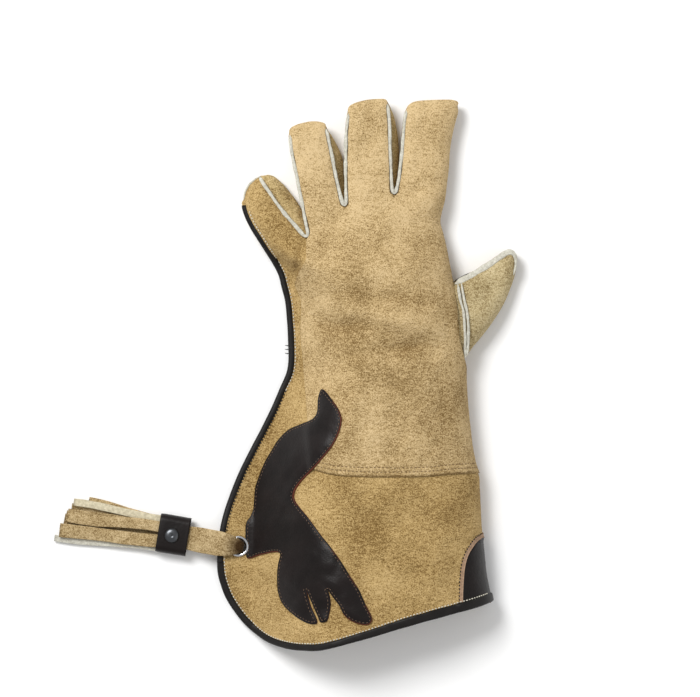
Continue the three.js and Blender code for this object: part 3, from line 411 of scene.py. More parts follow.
def finger_height(y):
    return mix(FINGER_HEIGHT, FINGERTIP_HEIGHT, np.clip((y - along_y(0.76)) / (0.24 * GLOVE_LENGTH), 0, 1))


def sole_height(x, y):
    """Underside of the palm above the floor."""
    left, right, flap = left_at(y), right_at(y), flap_at(y)
    seam = 1 - smooth((x - left - flap) / EDGE_FADE)
    hem = 1 - smooth(hem_gap(x, y) / EDGE_FADE)
    strap = 1 - smooth((np.hypot(x - EYELET_PLAN[0], y - EYELET_PLAN[1]) - STRAP_LIFT_SPAN) / STRAP_LIFT_SPAN)
    lift = EDGE_LIFT * np.maximum(seam, hem) + STRAP_LIFT * strap
    pinky = pinky_share(y)
    outer = np.clip(1 - (x - left - 3) / 12, 0, 1)
    lift = lift + pinky * 9.0 * (1 - np.sqrt(1 - outer**2))
    fold = np.clip((x - (right - FOLD_RADIUS)) / FOLD_RADIUS, 0, 1)
    return np.maximum(lift, FOLD_RADIUS * (1 - np.sqrt(1 - fold * fold)))


def upper_height(x, y):
    """Upper surface of the glove's first layer."""
    left, right, flap = left_at(y), right_at(y), flap_at(y)
    reach = knuckle_y(x) - y
    crown = mix(finger_height(y) - 0.6, crown_at(y), smooth((reach + 4) / KNUCKLE_FADE))
    ramp = mix(0.13, 0.42, smooth(reach / KNUCKLE_FADE))
    width = np.minimum(right - left, 205)
    pinky = pinky_share(y)
    start = left + mix(flap, 3.0, pinky)
    peak = start + mix(ramp * width - 0.6 * flap, 13.0, pinky)
    low = sole_height(np.minimum(x, start), y) + FLAP_THICKNESS
    a = np.clip((x - start) / (peak - start), 0, 1)
    rise = mix(np.sin(a * math.pi / 2) ** 1.2, np.sqrt(np.clip(1 - (1 - a) ** 2, 0, 1)), pinky)
    z_left = mix(low, crown, rise)
    round_width = mix(17.0, np.maximum(right - peak, 17), smooth(reach / 45))
    b = np.clip((x - (right - round_width)) / round_width, 0, 1)
    z_right = FOLD_RADIUS + (crown - FOLD_RADIUS) * np.sqrt(np.clip(1 - b ** mix(2.2, 3.0, smooth(reach / 45)), 0, 1))
    z = np.minimum(z_left, z_right)
    calm = smooth(2 * a) * smooth(3 * (1 - b))
    z = z + fold_height(x, y) * calm
    z = z + calm * sum(height * ripple(x, y, size, seed) for height, size, seed in RIPPLES)
    return np.where(z > FOLD_RADIUS, np.maximum(z - seam_roll(x, y), FOLD_RADIUS), z)


def seam_roll(x, y):
    """How far the leather dips into the fingers' seams."""
    near = y > row_y(SEAM_ROLLS_FROM)
    drop = np.zeros_like(x)
    p = np.stack([x[near], y[near]], -1)
    best = np.zeros(len(p))
    for name, (_, start, middle, end, reach) in SEAMS.items():
        d, share = distance(p, SEAM_LINES[name])
        depth = np.interp(share, [0, 0.35, 0.75, 1], [start, middle, middle, end])
        best = np.maximum(best, depth * rounded_off(d, reach))
    drop[near] = best
    return drop


def fill_outline(outline, spacing, rows=(0.4, 1.1, 2.4, 4.4)):
    """Plan points and triangles inside an outline, finer towards its edge."""
    n = len(outline)
    area = 0.5 * np.sum(outline[:, 0] * np.roll(outline[:, 1], -1) - np.roll(outline[:, 0], -1) * outline[:, 1])
    if area < 0:
        outline = outline[::-1].copy()
    tangent = unit(np.roll(outline, -1, axis=0) - np.roll(outline, 1, axis=0), 1e-9)
    normal = np.stack([-tangent[:, 1], tangent[:, 0]], -1)
    points = [outline]
    for row in rows:
        p = outline + normal * row
        keep = inside(p, outline)
        p = p[keep]
        d, _ = distance(p, outline, True)
        points.append(p[d > row * 0.92])
    low, high = outline.min(0), outline.max(0)
    dy = spacing * TRIANGLE_ROW
    grid = []
    for j, y in enumerate(np.arange(low[1] + dy / 2, high[1], dy)):
        x = np.arange(low[0] + (spacing / 2 if j % 2 else 0), high[0], spacing)
        grid.append(np.stack([x, np.full_like(x, y)], -1))
    grid = np.concatenate(grid)
    grid = grid[inside(grid, outline)]
    d, _ = distance(grid, outline, True)
    points.append(grid[d > rows[-1] + 0.55 * spacing])
    p = np.concatenate(points)
    edges = [(i, (i + 1) % n) for i in range(n)]
    verts, _, faces, _, _, _ = geometry.delaunay_2d_cdt([Vector(v) for v in p], edges, [list(range(n))], 1, 1e-6)
    return np.array([tuple(v) for v in verts]), np.array([f for f in faces if len(f) == 3])


def vertex_normals(verts, faces):
    a, b, c = (verts[faces[:, k]] for k in range(3))
    face = np.cross(b - a, c - a)
    normals = np.zeros_like(verts)
    for k in range(3):
        np.add.at(normals, faces[:, k], face)
    return unit(normals, 1e-12)


def shell(verts, faces, outer, inner):
    """Closed sheet of leather: the surface moved by outer and by inner along its normals, joined by a rim."""
    normals = vertex_normals(verts, faces)
    n = len(verts)
    outer, inner = (np.broadcast_to(v, (n,))[:, None] for v in (outer, inner))
    points = np.concatenate([verts + normals * outer, verts + normals * inner])
    pairs = np.concatenate([faces[:, [0, 1]], faces[:, [1, 2]], faces[:, [2, 0]]])
    keys = pairs[:, 0].astype(np.int64) * n + pairs[:, 1]
    back = pairs[:, 1].astype(np.int64) * n + pairs[:, 0]
    open_edges = pairs[~np.isin(keys, back)]
    rim = [(b, a, a + n, b + n) for a, b in open_edges]
    return points, [tuple(f) for f in faces] + [tuple(f[::-1] + n) for f in faces] + rim, len(faces) * 2


def make_object(name, points, faces, finishes, rim_from=None, painted_shading=None):
    """Mesh object in the row's frame from plan millimetres, with a point attribute of how far each point stands out
    of its sheet, which the suede paints as shade in dents and as light on ridges.
    """
    mesh = bpy.data.meshes.new(name)
    p = np.asarray(points, float).copy()
    p[:, :2] += SHIFT
    p[:, 2] = np.maximum(p[:, 2], FLOOR_GAP)
    mesh.from_pydata((p * MM).tolist(), [], [tuple(int(i) for i in f) for f in faces])
    mesh.polygons.foreach_set("use_smooth", [True] * len(mesh.polygons))
    for finish in finishes:
        mesh.materials.append(material(finish))
    if rim_from is not None:
        for polygon in list(mesh.polygons)[rim_from:]:
            polygon.material_index = 1
            polygon.use_smooth = False
    if painted_shading is not None:
        mesh.attributes.new("painted_shading", "FLOAT", "POINT").data.foreach_set("value", painted_shading)
    mesh.update()
    made = bpy.data.objects.new(name, mesh)
    bpy.context.scene.collection.objects.link(made)
    return made


def settle(obj, slot, *nodes):
    """The finished piece rides on the frame and stands for its nodes."""
    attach(obj, "root")
    if nodes:
        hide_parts(*nodes)
    return obj


def add_solid(name, solid, finish, slot, *nodes):
    """A closed piece of one finish, from its points and faces."""
    settle(make_object(name, *solid, [finish]), slot, *nodes)


def make_sheet(name, surface, outer, inner, finish, edge, painted_shading=None):
    """A sheet of leather over a surface's points and faces, with its cut edge in a finish of its own."""
    points, faces, rim = shell(*surface, outer, inner)
    return make_object(name, points, faces, [finish, edge], rim, None if painted_shading is None else np.tile(painted_shading, 2))


def bare_faces(made, bare):
    """Give the second finish to the faces, counted from the first one, that are bare."""
    for polygon, raw in zip(list(made.data.polygons)[: len(bare)], bare):
        if raw:
            polygon.material_index = 1


# Materials


def linear(hex_colour):
    """A colour written as sRGB hex, in the shader's linear values."""
    parts = [int(hex_colour[i : i + 2], 16) / 255 for i in (1, 3, 5)]
    return tuple(c / 12.92 if c <= 0.04045 else ((c + 0.055) / 1.055) ** 2.4 for c in parts) + (1.0,)


def add_node(tree, kind, links=None, **settings):
    """One node with its settings, and links into its sockets by name or number."""
    node = tree.nodes.new(kind)
    for key, value in settings.items():
        if key.startswith("in_"):
            name = key[3:]
            socket = node.inputs[int(name)] if name.isdigit() else node.inputs[name.replace("_", " ")]
            socket.default_value = value
        else:
            setattr(node, key, value)
    for key, source in (links or {}).items():
        tree.links.new(source, node.inputs[key])
    return node


def new_material(name):
    material = bpy.data.materials.new(name)
    material.use_nodes = True
    tree = material.node_tree
    tree.nodes.clear()
    shader = tree.nodes.new("ShaderNodeBsdfPrincipled")
    out = tree.nodes.new("ShaderNodeOutputMaterial")
    tree.links.new(shader.outputs[0], out.inputs[0])
    return material, tree, shader, tree.nodes.new("ShaderNodeTexCoord").outputs["Object"]


def set_inputs(node, **values):
    """Values of a node's inputs, with _ for a space in a name."""
    for name, value in values.items():
        node.inputs[name.replace("_", " ")].default_value = value


def tinted(colour, red, green, blue):
    return (min(colour[0] * red, 1.0), min(colour[1] * green, 1.0), min(colour[2] * blue, 1.0), 1.0)


def ramp_of(tree, source, stops):
    """Colour ramp over a value, from (position, colour) stops."""
    ramp = tree.nodes.new("ShaderNodeValToRGB")
    tree.links.new(source, ramp.inputs[0])
    elements = ramp.color_ramp.elements
    while len(elements) < len(stops):
        elements.new(0.5)
    for element, (position, colour) in zip(elements, stops):
        element.position = position
        element.color = colour
    return ramp.outputs[0]


def suede_material(name, colour, patch_size=30.0, contrast=1.0, painted_light_up=0.0, shade_at=None):
    """Split cowhide suede: broad brushed patches, slanting streaks of nap and flecks about a millimetre across, with
    painted light that can make it paler towards the fingers.
    """
    made, tree, shader, place = new_material(name)
    slant = add_node(tree, "ShaderNodeMapping", {"Vector": place}, in_Rotation=(0, 0, 0.65), in_Scale=(1.0, 2.4, 1.0))
    # place, scale, detail, roughness and share of patches of centimetres, streaks of 2 to 4 mm, flecks of 1 mm
    layers = (
        (place, 1000 / patch_size, 4.0, 0.55, 0.75),
        (slant.outputs[0], 260.0, 4.0, 0.65, 0.75),
        (place, 1150.0, 2.0, 0.6, 1.5),
    )
    total, heights = None, []
    for where, scale, detail, roughness, share in layers:
        noise = add_node(
            tree, "ShaderNodeTexNoise", {"Vector": where}, in_Scale=scale, in_Detail=detail, in_Roughness=roughness
        )
        heights.append(noise.outputs[0])
        share *= contrast
        part = add_node(tree, "ShaderNodeMath", {0: noise.outputs[0]}, operation="MULTIPLY_ADD", in_1=share)
        if total is None:
            part.inputs[2].default_value = 0.5 - 1.5 * contrast
        else:
            tree.links.new(total, part.inputs[2])
        total = part.outputs[0]
    # Painted shade and light: the colour is darker where a point lies in a dent or crease of its sheet and paler
    # where it stands on a ridge.
    painted_shading = add_node(tree, "ShaderNodeAttribute", attribute_name="painted_shading").outputs["Fac"]
    part = add_node(tree, "ShaderNodeMath", {0: painted_shading, 2: total}, operation="MULTIPLY_ADD", in_1=0.036)
    total = part.outputs[0]
    # Painted light: the suede is painted paler from 0.1 to 0.14 m up the object, towards the fingers, which catch
    # more light.
    if painted_light_up:
        y = add_node(tree, "ShaderNodeSeparateXYZ", {0: place}).outputs[1]
        fade = add_node(
            tree, "ShaderNodeMapRange", {0: y}, interpolation_type="SMOOTHSTEP", in_1=0.1, in_2=0.14, in_4=painted_light_up
        )
        total = add_node(tree, "ShaderNodeMath", {0: fade.outputs[0], 1: total}, operation="ADD").outputs[0]
    tint = ramp_of(
        tree,
        total,
        (
            (0.2, tinted(colour, 0.42, 0.36, 0.27)),
            (0.5, tuple(colour)),
            (0.78, tinted(colour, 1.42, 1.5, 1.75)),
        ),
    )
    if shade_at is not None:
        away = add_node(tree, "ShaderNodeVectorMath", {0: place}, operation="DISTANCE", in_1=shade_at)
        shade = ramp_of(tree, away.outputs["Value"], ((0.004, (0.13, 0.09, 0.06, 1)), (0.014, (1, 1, 1, 1))))
        mixed = add_node(
            tree, "ShaderNodeMix", {6: tint, 7: shade}, data_type="RGBA", blend_type="MULTIPLY", in_0=1.0
        )
        tint = mixed.outputs[2]
    tree.links.new(tint, shader.inputs["Base Color"])
    set_inputs(shader, Roughness=0.95, Specular_IOR_Level=0.1)
    set_inputs(shader, Sheen_Weight=0.12, Sheen_Roughness=0.5, Sheen_Tint=linear("#e8d5b0"))
    nap = add_node(tree, "ShaderNodeBump", {"Height": heights[1]}, in_Strength=0.6, in_Distance=0.0012)
    fibre = add_node(
        tree, "ShaderNodeBump", {"Height": heights[2], "Normal": nap.outputs[0]}, in_Strength=0.7, in_Distance=0.0006
    )
    tree.links.new(fibre.outputs[0], shader.inputs["Normal"])
    return made


def smooth_leather_material(name, colour, roughness=0.42):
    """Smooth dark leather: faint pebble grain, soft gloss and slight uneven wear."""
    made, tree, shader, place = new_material(name)
    wear = add_node(tree, "ShaderNodeTexNoise", {"Vector": place}, in_Scale=45.0, in_Detail=5.0, in_Roughness=0.65)
    pebble = add_node(tree, "ShaderNodeTexVoronoi", {"Vector": place}, in_Scale=900.0)
    stops = ((0.35, tinted(colour, 0.6, 0.55, 0.5)), (0.7, tinted(colour, 1.5, 1.45, 1.4)))
    tree.links.new(ramp_of(tree, wear.outputs[0], stops), shader.inputs["Base Color"])
    set_inputs(shader, Roughness=roughness, Specular_IOR_Level=0.21)
    soft = add_node(tree, "ShaderNodeBump", {"Height": wear.outputs[0]}, in_Strength=0.4, in_Distance=0.0016)
    grain = {"Height": pebble.outputs[0], "Normal": soft.outputs[0]}
    fine = add_node(tree, "ShaderNodeBump", grain, in_Strength=0.2, in_Distance=0.0003)
    tree.links.new(fine.outputs[0], shader.inputs["Normal"])
    return made


def raw_edge_material(name, colour):
    """Cut edge or bare back of split leather: pale, matt and fibrous."""
    made, tree, shader, place = new_material(name)
    fibre = add_node(tree, "ShaderNodeTexNoise", {"Vector": place}, in_Scale=500.0, in_Detail=5.0, in_Roughness=0.7)
    stops = ((0.3, tinted(colour, 0.6, 0.58, 0.54)), (0.68, tinted(colour, 1.12, 1.12, 1.12)))
    tree.links.new(ramp_of(tree, fibre.outputs[0], stops), shader.inputs["Base Color"])
    set_inputs(shader, Roughness=0.9, Specular_IOR_Level=0.15)
    bump = add_node(tree, "ShaderNodeBump", {"Height": fibre.outputs[0]}, in_Strength=0.6, in_Distance=0.0006)
    tree.links.new(bump.outputs[0], shader.inputs["Normal"])
    return made


def metal_material(name, colour, roughness):
    """Plated metal with faint handling marks in its gloss."""
    material, tree, shader, place = new_material(name)
    marks = add_node(tree, "ShaderNodeTexNoise", {"Vector": place}, in_Scale=400.0, in_Detail=4.0)
    span = add_node(
        tree, "ShaderNodeMapRange", {"Value": marks.outputs[0]}, in_3=roughness * 0.7, in_4=roughness * 1.4
    )
    tree.links.new(span.outputs[0], shader.inputs["Roughness"])
    set_inputs(shader, Base_Color=linear(colour), Metallic=1.0)
    return material


def thread_material(name, colour):
    """Waxed sewing thread: fine twist lines across each stitch."""
    made, tree, shader, place = new_material(name)
    twist = add_node(tree, "ShaderNodeTexNoise", {"Vector": place}, in_Scale=1800.0, in_Detail=2.0)
    stops = ((0.35, tinted(colour, 0.65, 0.62, 0.6)), (0.6, tuple(colour)))
    tree.links.new(ramp_of(tree, twist.outputs[0], stops), shader.inputs["Base Color"])
    set_inputs(shader, Roughness=0.7)
    return made


MATERIALS = {}


def material(kind):
    """The glove's finishes, each made once."""
    if kind in MATERIALS:
        return MATERIALS[kind]
    c = bpy.context.scene.glove_colours
    eyelet = tuple((EYELET_PLAN + SHIFT + (2.0, 0)) * MM) + (CAD_BOX[0].z + 0.012,)
    makers = {
        # The hand's suede gets painted light that makes the fingers paler than the back of the hand.
        "hand_suede": lambda: suede_material("tan suede of the hand", c.hand, 34.0, 1.1, 0.13),
        "cuff_suede": lambda: suede_material("brown tan suede of the cuff", c.cuff, 40.0, 1.1),
        "thumb_suede": lambda: suede_material("tan suede of the thumb", c.thumb, 24.0),
        # Painted light: the side walls take a paler copy of the thumb's suede, so they read lighter in the shade
        # between the fingers.
        "wall_suede": lambda: suede_material("suede of the side walls", tinted(c.thumb, 1.2, 1.13, 1.0), 18.0),
        "strip_suede": lambda: suede_material("tan suede strips", c.tassel, 14.0),
        "strap_suede": lambda: suede_material("tan suede of the strap", c.tassel, 14.0, shade_at=eyelet),
        "pale_edge": lambda: raw_edge_material("raw pale split edge", c.welt),
        "pale_strip": lambda: raw_edge_material("pale side of a strip", tinted(c.welt, 1.02, 0.94, 0.78)),
        "suede_edge": lambda: raw_edge_material("cut suede edge", tinted(c.hand, 1.0, 1.0, 1.05)),
        "dark_leather": lambda: smooth_leather_material("smooth dark brown leather", c.dark_leather),
        "bare_edge": lambda: raw_edge_material("bare edge of the corner patch", linear("#a98c74")),
        "red_edge": lambda: raw_edge_material("red brown raw leather edge", linear("#5e3224")),
        "black_binding": lambda: smooth_leather_material("black binding leather", c.binding, 0.5),
        "eyelet_steel": lambda: metal_material("bright plated steel", "#c9cbce", 0.18),
        "white_thread": lambda: thread_material("white thread", c.thread),
        # Painted shade: the tan thread is darkened to about half the hand's colour so that the stitches read as the
        # shaded holes they sit in.
        "tan_thread": lambda: thread_material("tan thread", tinted(c.hand, 0.5, 0.45, 0.4)),
        "brown_thread": lambda: thread_material("brown thread", linear("#6f5744")),
        "black_thread": lambda: thread_material("black thread", linear("#23211f")),
        "gunmetal": lambda: metal_material("dark gunmetal", "#55575a", 0.3),
    }
    MATERIALS[kind] = makers[kind]()
    return MATERIALS[kind]


# Pieces' outlines and surfaces


def edge_points(profile, y_from, y_to, step=1.5):
    """Plan points along a silhouette edge."""
    count = max(int(abs(y_to - y_from) / step), 2)
    y = np.linspace(y_from, y_to, count + 1)
    return np.stack([profile(y), y], -1)


def joined(*lines):
    """Lines end to end, each shared end kept once."""
    out = [lines[0]]
    for line in lines[1:]:
        gap = np.linalg.norm(out[-1][-1] - line[0])
        out.append(line[1:] if gap < 0.05 else line)
    points = np.concatenate(out)
    if np.linalg.norm(points[0] - points[-1]) < 0.05:
        points = points[:-1]
    return points


# Side walls between the fingers: how far the palm's edge stands out from the back's seam, mm across and along,
# from the first finger's tip to the crotch and up the next finger
WALLS = {
    "pinky_ring": (
        ("pinky_seam", "ring_left"),
        [(0, 0, 0), (0.02, 3.4, 2.8), (0.05, 5.9, 4.8), (0.1, 7.7, 5.9), (0.18, 9.8, 4.9), (0.27, 9.7, 5.4),
         (0.4, 5.2, 4.4), (0.5, 2.4, 0), (0.7, 4.5, 0), (0.9, 4, 0), (1, 0, 0)],
    ),
    "ring_middle": (
        ("ring_right", "middle_left"),
        [(0, 0, 0), (0.05, 2.0, 0.3), (0.11, 4.0, 0.2), (0.18, 5.6, 0), (0.27, 5.4, 0), (0.4, 3.4, 0), (0.5, 1.5, 0),
         (0.7, 3.5, 0), (0.92, 3, 0), (1, 0, 0)],
    ),
    "middle_index": (
        ("middle_right", "index_left"),
        [(0, 0, 0), (0.06, 2.3, 0.3), (0.14, 3.7, 0), (0.27, 4.6, 0), (0.4, 3.2, 0), (0.5, 1.5, 0), (0.7, 2.5, 0),
         (0.92, 2, 0), (1, 0, 0)],
    ),
}


WELT_TIPS = {
    "pinky_ring": ("pinky_tip", "ring_tip"),
    "ring_middle": ("ring_tip", "middle_tip"),
    "middle_index": ("middle_tip", "index_tip"),
}


def wall_paths(name):
    """Seam on the back and seam on the palm of one side wall, with the share along them."""
    (first, second), rows = WALLS[name]
    top = joined(SEAM_LINES[first], SEAM_LINES[second])
    length = run_length(top)
    split = np.linalg.norm(np.diff(SEAM_LINES[first], axis=0), axis=1).sum()
    share = np.where(length < split, 0.5 * length / split, 0.5 + 0.5 * (length - split) / (length[-1] - split))
    keys = [r[0] for r in rows]
    shift = np.stack([Profile(keys, [r[1] for r in rows])(share), Profile(keys, [r[2] for r in rows])(share)], -1)
    return top, top + shift, share


WALL_PATHS = {name: wall_paths(name) for name in WALLS}
TIP_LINES = [SEAM_LINES[n] for n in ("pinky_tip", "ring_tip", "middle_tip", "index_tip")]


def palm_height(x, y):
    """Underside of the palm and of the fingers."""
    z = sole_height(x, y)
    near = y > row_y(PALM_ROLLS_FROM)
    p = np.stack([x[near], y[near]], -1)
    rise = np.zeros(len(p))
    for line in TIP_LINES:
        d, _ = distance(p, line)
        rise = np.maximum(rise, FOLD_RADIUS * rounded_off(d, 14))
    for name, (_, bottom, _) in WALL_PATHS.items():
        d, at = distance(p, bottom)
        end = np.minimum(at, 1 - at)
        blunt = 1.0 if name == "pinky_ring" else 0.0
        first = np.where(at < 0.5, mix(FOLD_RADIUS, 7.0, blunt), FOLD_RADIUS)
        target = mix(first, 2.6, smooth(end / 0.16))
        rise = np.maximum(rise, target * rounded_off(d, np.maximum(target, 7)))
    z[near] = np.maximum(z[near], rise)
    return z


TOP_Y = row_y(103)
HEM_END = HEM_LINE[-1]
RIGHT_LINE = edge_points(right_at, HEM_END[1], TOP_Y)
LEFT_LINE = edge_points(left_at, row_y(200), HEM_LINE[0][1])
LEFT_LINE[0] = SEAM_LINES["pinky_tip"][0]


# Seams round the three long fingers, from the thumb's side to the little finger
LONG_FINGERS = (
    "index_tip", "index_left", "middle_right", "middle_tip", "middle_left", "ring_right", "ring_tip", "ring_left",
)


def turned(names):
    """Seams by name, each from its end to its start."""
    return [SEAM_LINES[name][::-1] for name in names]


def back_outline():
    return joined(HEM_LINE, RIGHT_LINE, *turned(LONG_FINGERS + ("pinky_seam", "pinky_tip")), LEFT_LINE)


def palm_outline():
    lines = [HEM_LINE, RIGHT_LINE]
    for tip, wall in (("index_tip", "middle_index"), ("middle_tip", "ring_middle"), ("ring_tip", "pinky_ring")):
        lines += turned([tip]) + [WALL_PATHS[wall][1][::-1]]
    return joined(*lines, *turned(["pinky_tip"]), LEFT_LINE)


def weld(parts, grain=1e-3):
    """Meshes joined where their points meet."""
    verts = np.concatenate([v for v, _ in parts])
    shift = np.cumsum([0] + [len(v) for v, _ in parts[:-1]])
    faces = np.concatenate([f + s for (_, f), s in zip(parts, shift)])
    cells = np.round(verts / grain).astype(np.int64)
    _, first, inverse = np.unique(cells, axis=0, return_index=True, return_inverse=True)
    return verts[first], inverse.reshape(-1)[faces]


CACHE = {}


def cached(make):
    def get(*key):
        name = (make.__name__,) + key
        if name not in CACHE:
            CACHE[name] = make(*key)
        return CACHE[name]

    return get


@cached
def gauntlet_surface():
    """Outer surface of the back and the palm, one sheet folded round the thumb's side."""
    back, back_faces = fill_outline(back_outline(), 2.7)
    palm, palm_faces = fill_outline(palm_outline(), 3.4)
    back = np.column_stack([back, upper_height(back[:, 0], back[:, 1])])
    palm = np.column_stack([palm, palm_height(palm[:, 0], palm[:, 1])])
    verts, faces = weld([(back, back_faces), (palm, palm_faces[:, ::-1])])
    return verts, faces, vertex_normals(verts, faces)


@cached
def normal_finder():
    verts, _, normals = gauntlet_surface()
    tree = kdtree.KDTree(len(verts))
    for i, v in enumerate(verts):
        tree.insert(v, i)
    tree.balance()
    return tree, normals


def surface_normals(points, reach=4):
    """Direction away from the leather at each point."""
    tree, normals = normal_finder()
    out = np.array([sum(normals[i] for _, i, _ in tree.find_n(p, reach)) for p in points])
    return unit(out)


def on_back(line, lift=0.0):
    """A plan line laid on the upper leather, with its normals."""
    points = raised(line, upper_height)
    normals = surface_normals(points)
    return points + normals * np.broadcast_to(lift, (len(line),))[:, None], normals


def facing_out(points, faces):
    """Faces turned so that a closed shape's volume is positive."""
    volume = 0.0
    for f in faces:
        a = points[f[0]]
        for i in range(1, len(f) - 1):
            volume += np.dot(a, np.cross(points[f[i]], points[f[i + 1]]))
    return faces if volume > 0 else [tuple(reversed(f)) for f in faces]


def tube_faces(loops, around, closed=False):
    """Quads along a row of loops; closed joins the last loop to the first."""
    faces = []
    for i in range(loops if closed else loops - 1):
        j = (i + 1) % loops
        for m in range(around):
            q = (m + 1) % around
            faces.append((i * around + m, j * around + m, j * around + q, i * around + q))
    return faces


def sweep(path, ups, section):
    """Closed solid along a path: section(i) gives the loop of (side, up) points at point i."""
    path, ups = np.asarray(path, float), np.asarray(ups, float)
    n = len(path)
    tangent = unit(np.gradient(path, axis=0))
    up = unit(ups - (ups * tangent).sum(1)[:, None] * tangent)
    side = np.cross(up, tangent)
    loops = [np.asarray(section(i), float) for i in range(n)]
    k = len(loops[0])
    points = np.concatenate([path[i] + side[i] * loop[:, :1] + up[i] * loop[:, 1:] for i, loop in enumerate(loops)])
    ends = [tuple(reversed(range(k))), tuple((n - 1) * k + m for m in range(k))]
    return points, facing_out(points, tube_faces(n, k) + ends)


def rounded_box(width, height, corner=0.45, steps=3):
    """Loop of a rounded rectangle, round its middle."""
    r = corner * min(width, height)
    loop = []
    for cx, cy, start in ((1, 1, 0), (-1, 1, 90), (-1, -1, 180), (1, -1, 270)):
        for i in range(steps + 1):
            a = math.radians(start + 90 * i / steps)
            loop.append((cx * (width / 2 - r) + r * math.cos(a), cy * (height / 2 - r) + r * math.sin(a)))
    return np.array(loop)


def soft_noise(n, seed, size=6):
    """Uneven values along a path, about -1 to 1."""
    rng = np.random.default_rng(seed)
    knots = rng.uniform(-1, 1, max(int(n / size), 2) + 3)
    return np.interp(np.linspace(0, len(knots) - 1, n), np.arange(len(knots)), knots)


def merge_pieces(pieces):
    points, faces, shift = [], [], 0
    for p, f in pieces:
        points.append(p)
        faces.extend(tuple(i + shift for i in face) for face in f)
        shift += len(p)
    return np.concatenate(points), faces


def grid_faces(rows, columns):
    i, j = np.meshgrid(np.arange(rows - 1), np.arange(columns - 1), indexing="ij")
    a = (i * columns + j).ravel()
    b, c, d = a + 1, a + columns + 1, a + columns
    return np.concatenate([np.stack([a, b, c], -1), np.stack([a, c, d], -1)])


OVERLAY = [
    (307, 237), (307, 248), (306.5, 260), (301, 272), (297, 284), (300, 292), (303, 300), (302.5, 318), (302, 333),
    (303.5, 350), (305, 364), (306, 380), (308, 400), (311, 440), (315, 469), (315, 469), (330, 473), (350, 475),
    (397, 476), (430, 475), (450, 473.5), (465, 473), (476, 473),
]


OVERLAY_HEM = OVERLAY[15:]  # its sewn lower edge

# How far the overlay stops short of the thumb's side: row v in pixels, millimetres
THUMB_SIDE = [(281, 0), (300, 2.5), (316, 4.3), (329, 6.0), (340, 4.7), (348, 3.6), (359, 1.9), (366, 0)]


def overlay_outline():
    edge = smooth_line(plan(OVERLAY), 1.5)
    start = OVERLAY_HEM_Y
    edge[-1] = (right_at(start), start)
    full = joined(edge, edge_points(right_at, start, TOP_Y), *turned(LONG_FINGERS))
    amount = np.zeros(len(full))
    tips = [name for name in SEAM_LINES if "tip" in name and "pinky" not in name]
    sides = ["ring_left", "ring_right", "middle_left", "middle_right", "index_left"]
    for names, inset in ((tips, TIP_ALLOWANCE), (sides, SEAM_ALLOWANCE)):
        for name in names:
            amount[distance(full, SEAM_LINES[name])[0] < 0.2] = inset
    rows = plan([(0, v) for v, _ in THUMB_SIDE])[:, 1]
    beside = np.interp(full[:, 1], rows[::-1], [r[1] for r in THUMB_SIDE][::-1])
    amount = np.where(full[:, 0] > column_x(440), np.maximum(amount, beside), amount)
    for _ in range(4):
        amount = (np.roll(amount, 1) + 2 * amount + np.roll(amount, -1)) / 4
    tangent = unit(np.roll(full, -1, axis=0) - np.roll(full, 1, axis=0), 1e-6)
    moved = full + np.column_stack([-tangent[:, 1], tangent[:, 0]]) * amount[:, None]
    clear = distance(moved, full, True)[0] > 0.9 * amount - 0.05
    return moved[clear]


BIRD = [
    (319, 398), (323, 389), (333, 400), (339.5, 410), (342, 419), (339.5, 431), (334, 443), (325, 455), (314, 468),
    (302, 481), (296, 490), (295, 498), (299, 505), (310, 518), (321, 533), (330, 544), (339.5, 557), (349, 572),
    (358, 586), (365, 601), (372, 616), (369, 621.5), (362, 622), (351, 618), (344, 612), (339.5, 603), (330, 590),
    (328, 585.5), (328, 585.5), (331, 599), (330, 610), (327, 619), (321, 620), (321, 620), (314, 604), (307, 587),
    (307, 587), (311.5, 604), (318, 620.5), (312, 622), (303, 619), (295, 614), (284, 604), (279, 592),
    (278, 577), (279, 564),
    (281, 553), (275, 552), (262, 555), (247, 559), (246, 547), (245, 536), (246, 523), (250, 517), (253.5, 507),
    (255, 490), (260, 475), (265.5, 462), (273, 449.5), (279, 440), (289.5, 430), (302.5, 424), (314, 418.5),
    (318, 412),
]

PATCH = [(483, 533.5), (475.5, 537.5), (469, 545.5), (464.3, 553.5), (461, 565), (459.6, 578), (459, 592), (459, 608)]
RAW_STRIP = 2.1
PATCH_ROWS = (0.15, 0.5, 1.1, 1.7, 2.0, 2.4, 3.2)  # rows of points inside its edge

THUMB = [
    (441, 283), (453, 282), (468, 274), (484, 264.5), (498, 255), (506, 250), (511, 249), (516, 253), (517.3, 262),
    (515, 276), (509, 293), (503, 306), (494, 320.5), (484, 334), (474, 346), (464, 358), (452, 362), (441, 360),
]


THUMB_BASE = [
    [(457.5, 283), (460.3, 300), (463.5, 314), (464.7, 329), (465, 343), (465, 358)],
    [(461, 283), (464, 300), (467, 314), (468.2, 329), (468, 343), (466.5, 356)],
]


@cached
def overlay_edge():
    return overlay_outline()


def over_lift(x, y):
    """Height that the second layer of suede adds, eased over its edge."""
    p = np.stack([x, y], -1)
    outline = overlay_edge()
    within = inside(p, outline)
    d, _ = distance(p, outline, True)
    return (OVERLAY_SUEDE + 0.35) * smooth((np.where(within, d, -d) + 5.5) / 5.5)


# Operators


def paint(name, description, hex_colour):
    """A colour that a maker would change."""
    return bpy.props.FloatVectorProperty(
        name=name, description=description, subtype="COLOR", size=4, min=0.0, max=1.0, default=linear(hex_colour)
    )


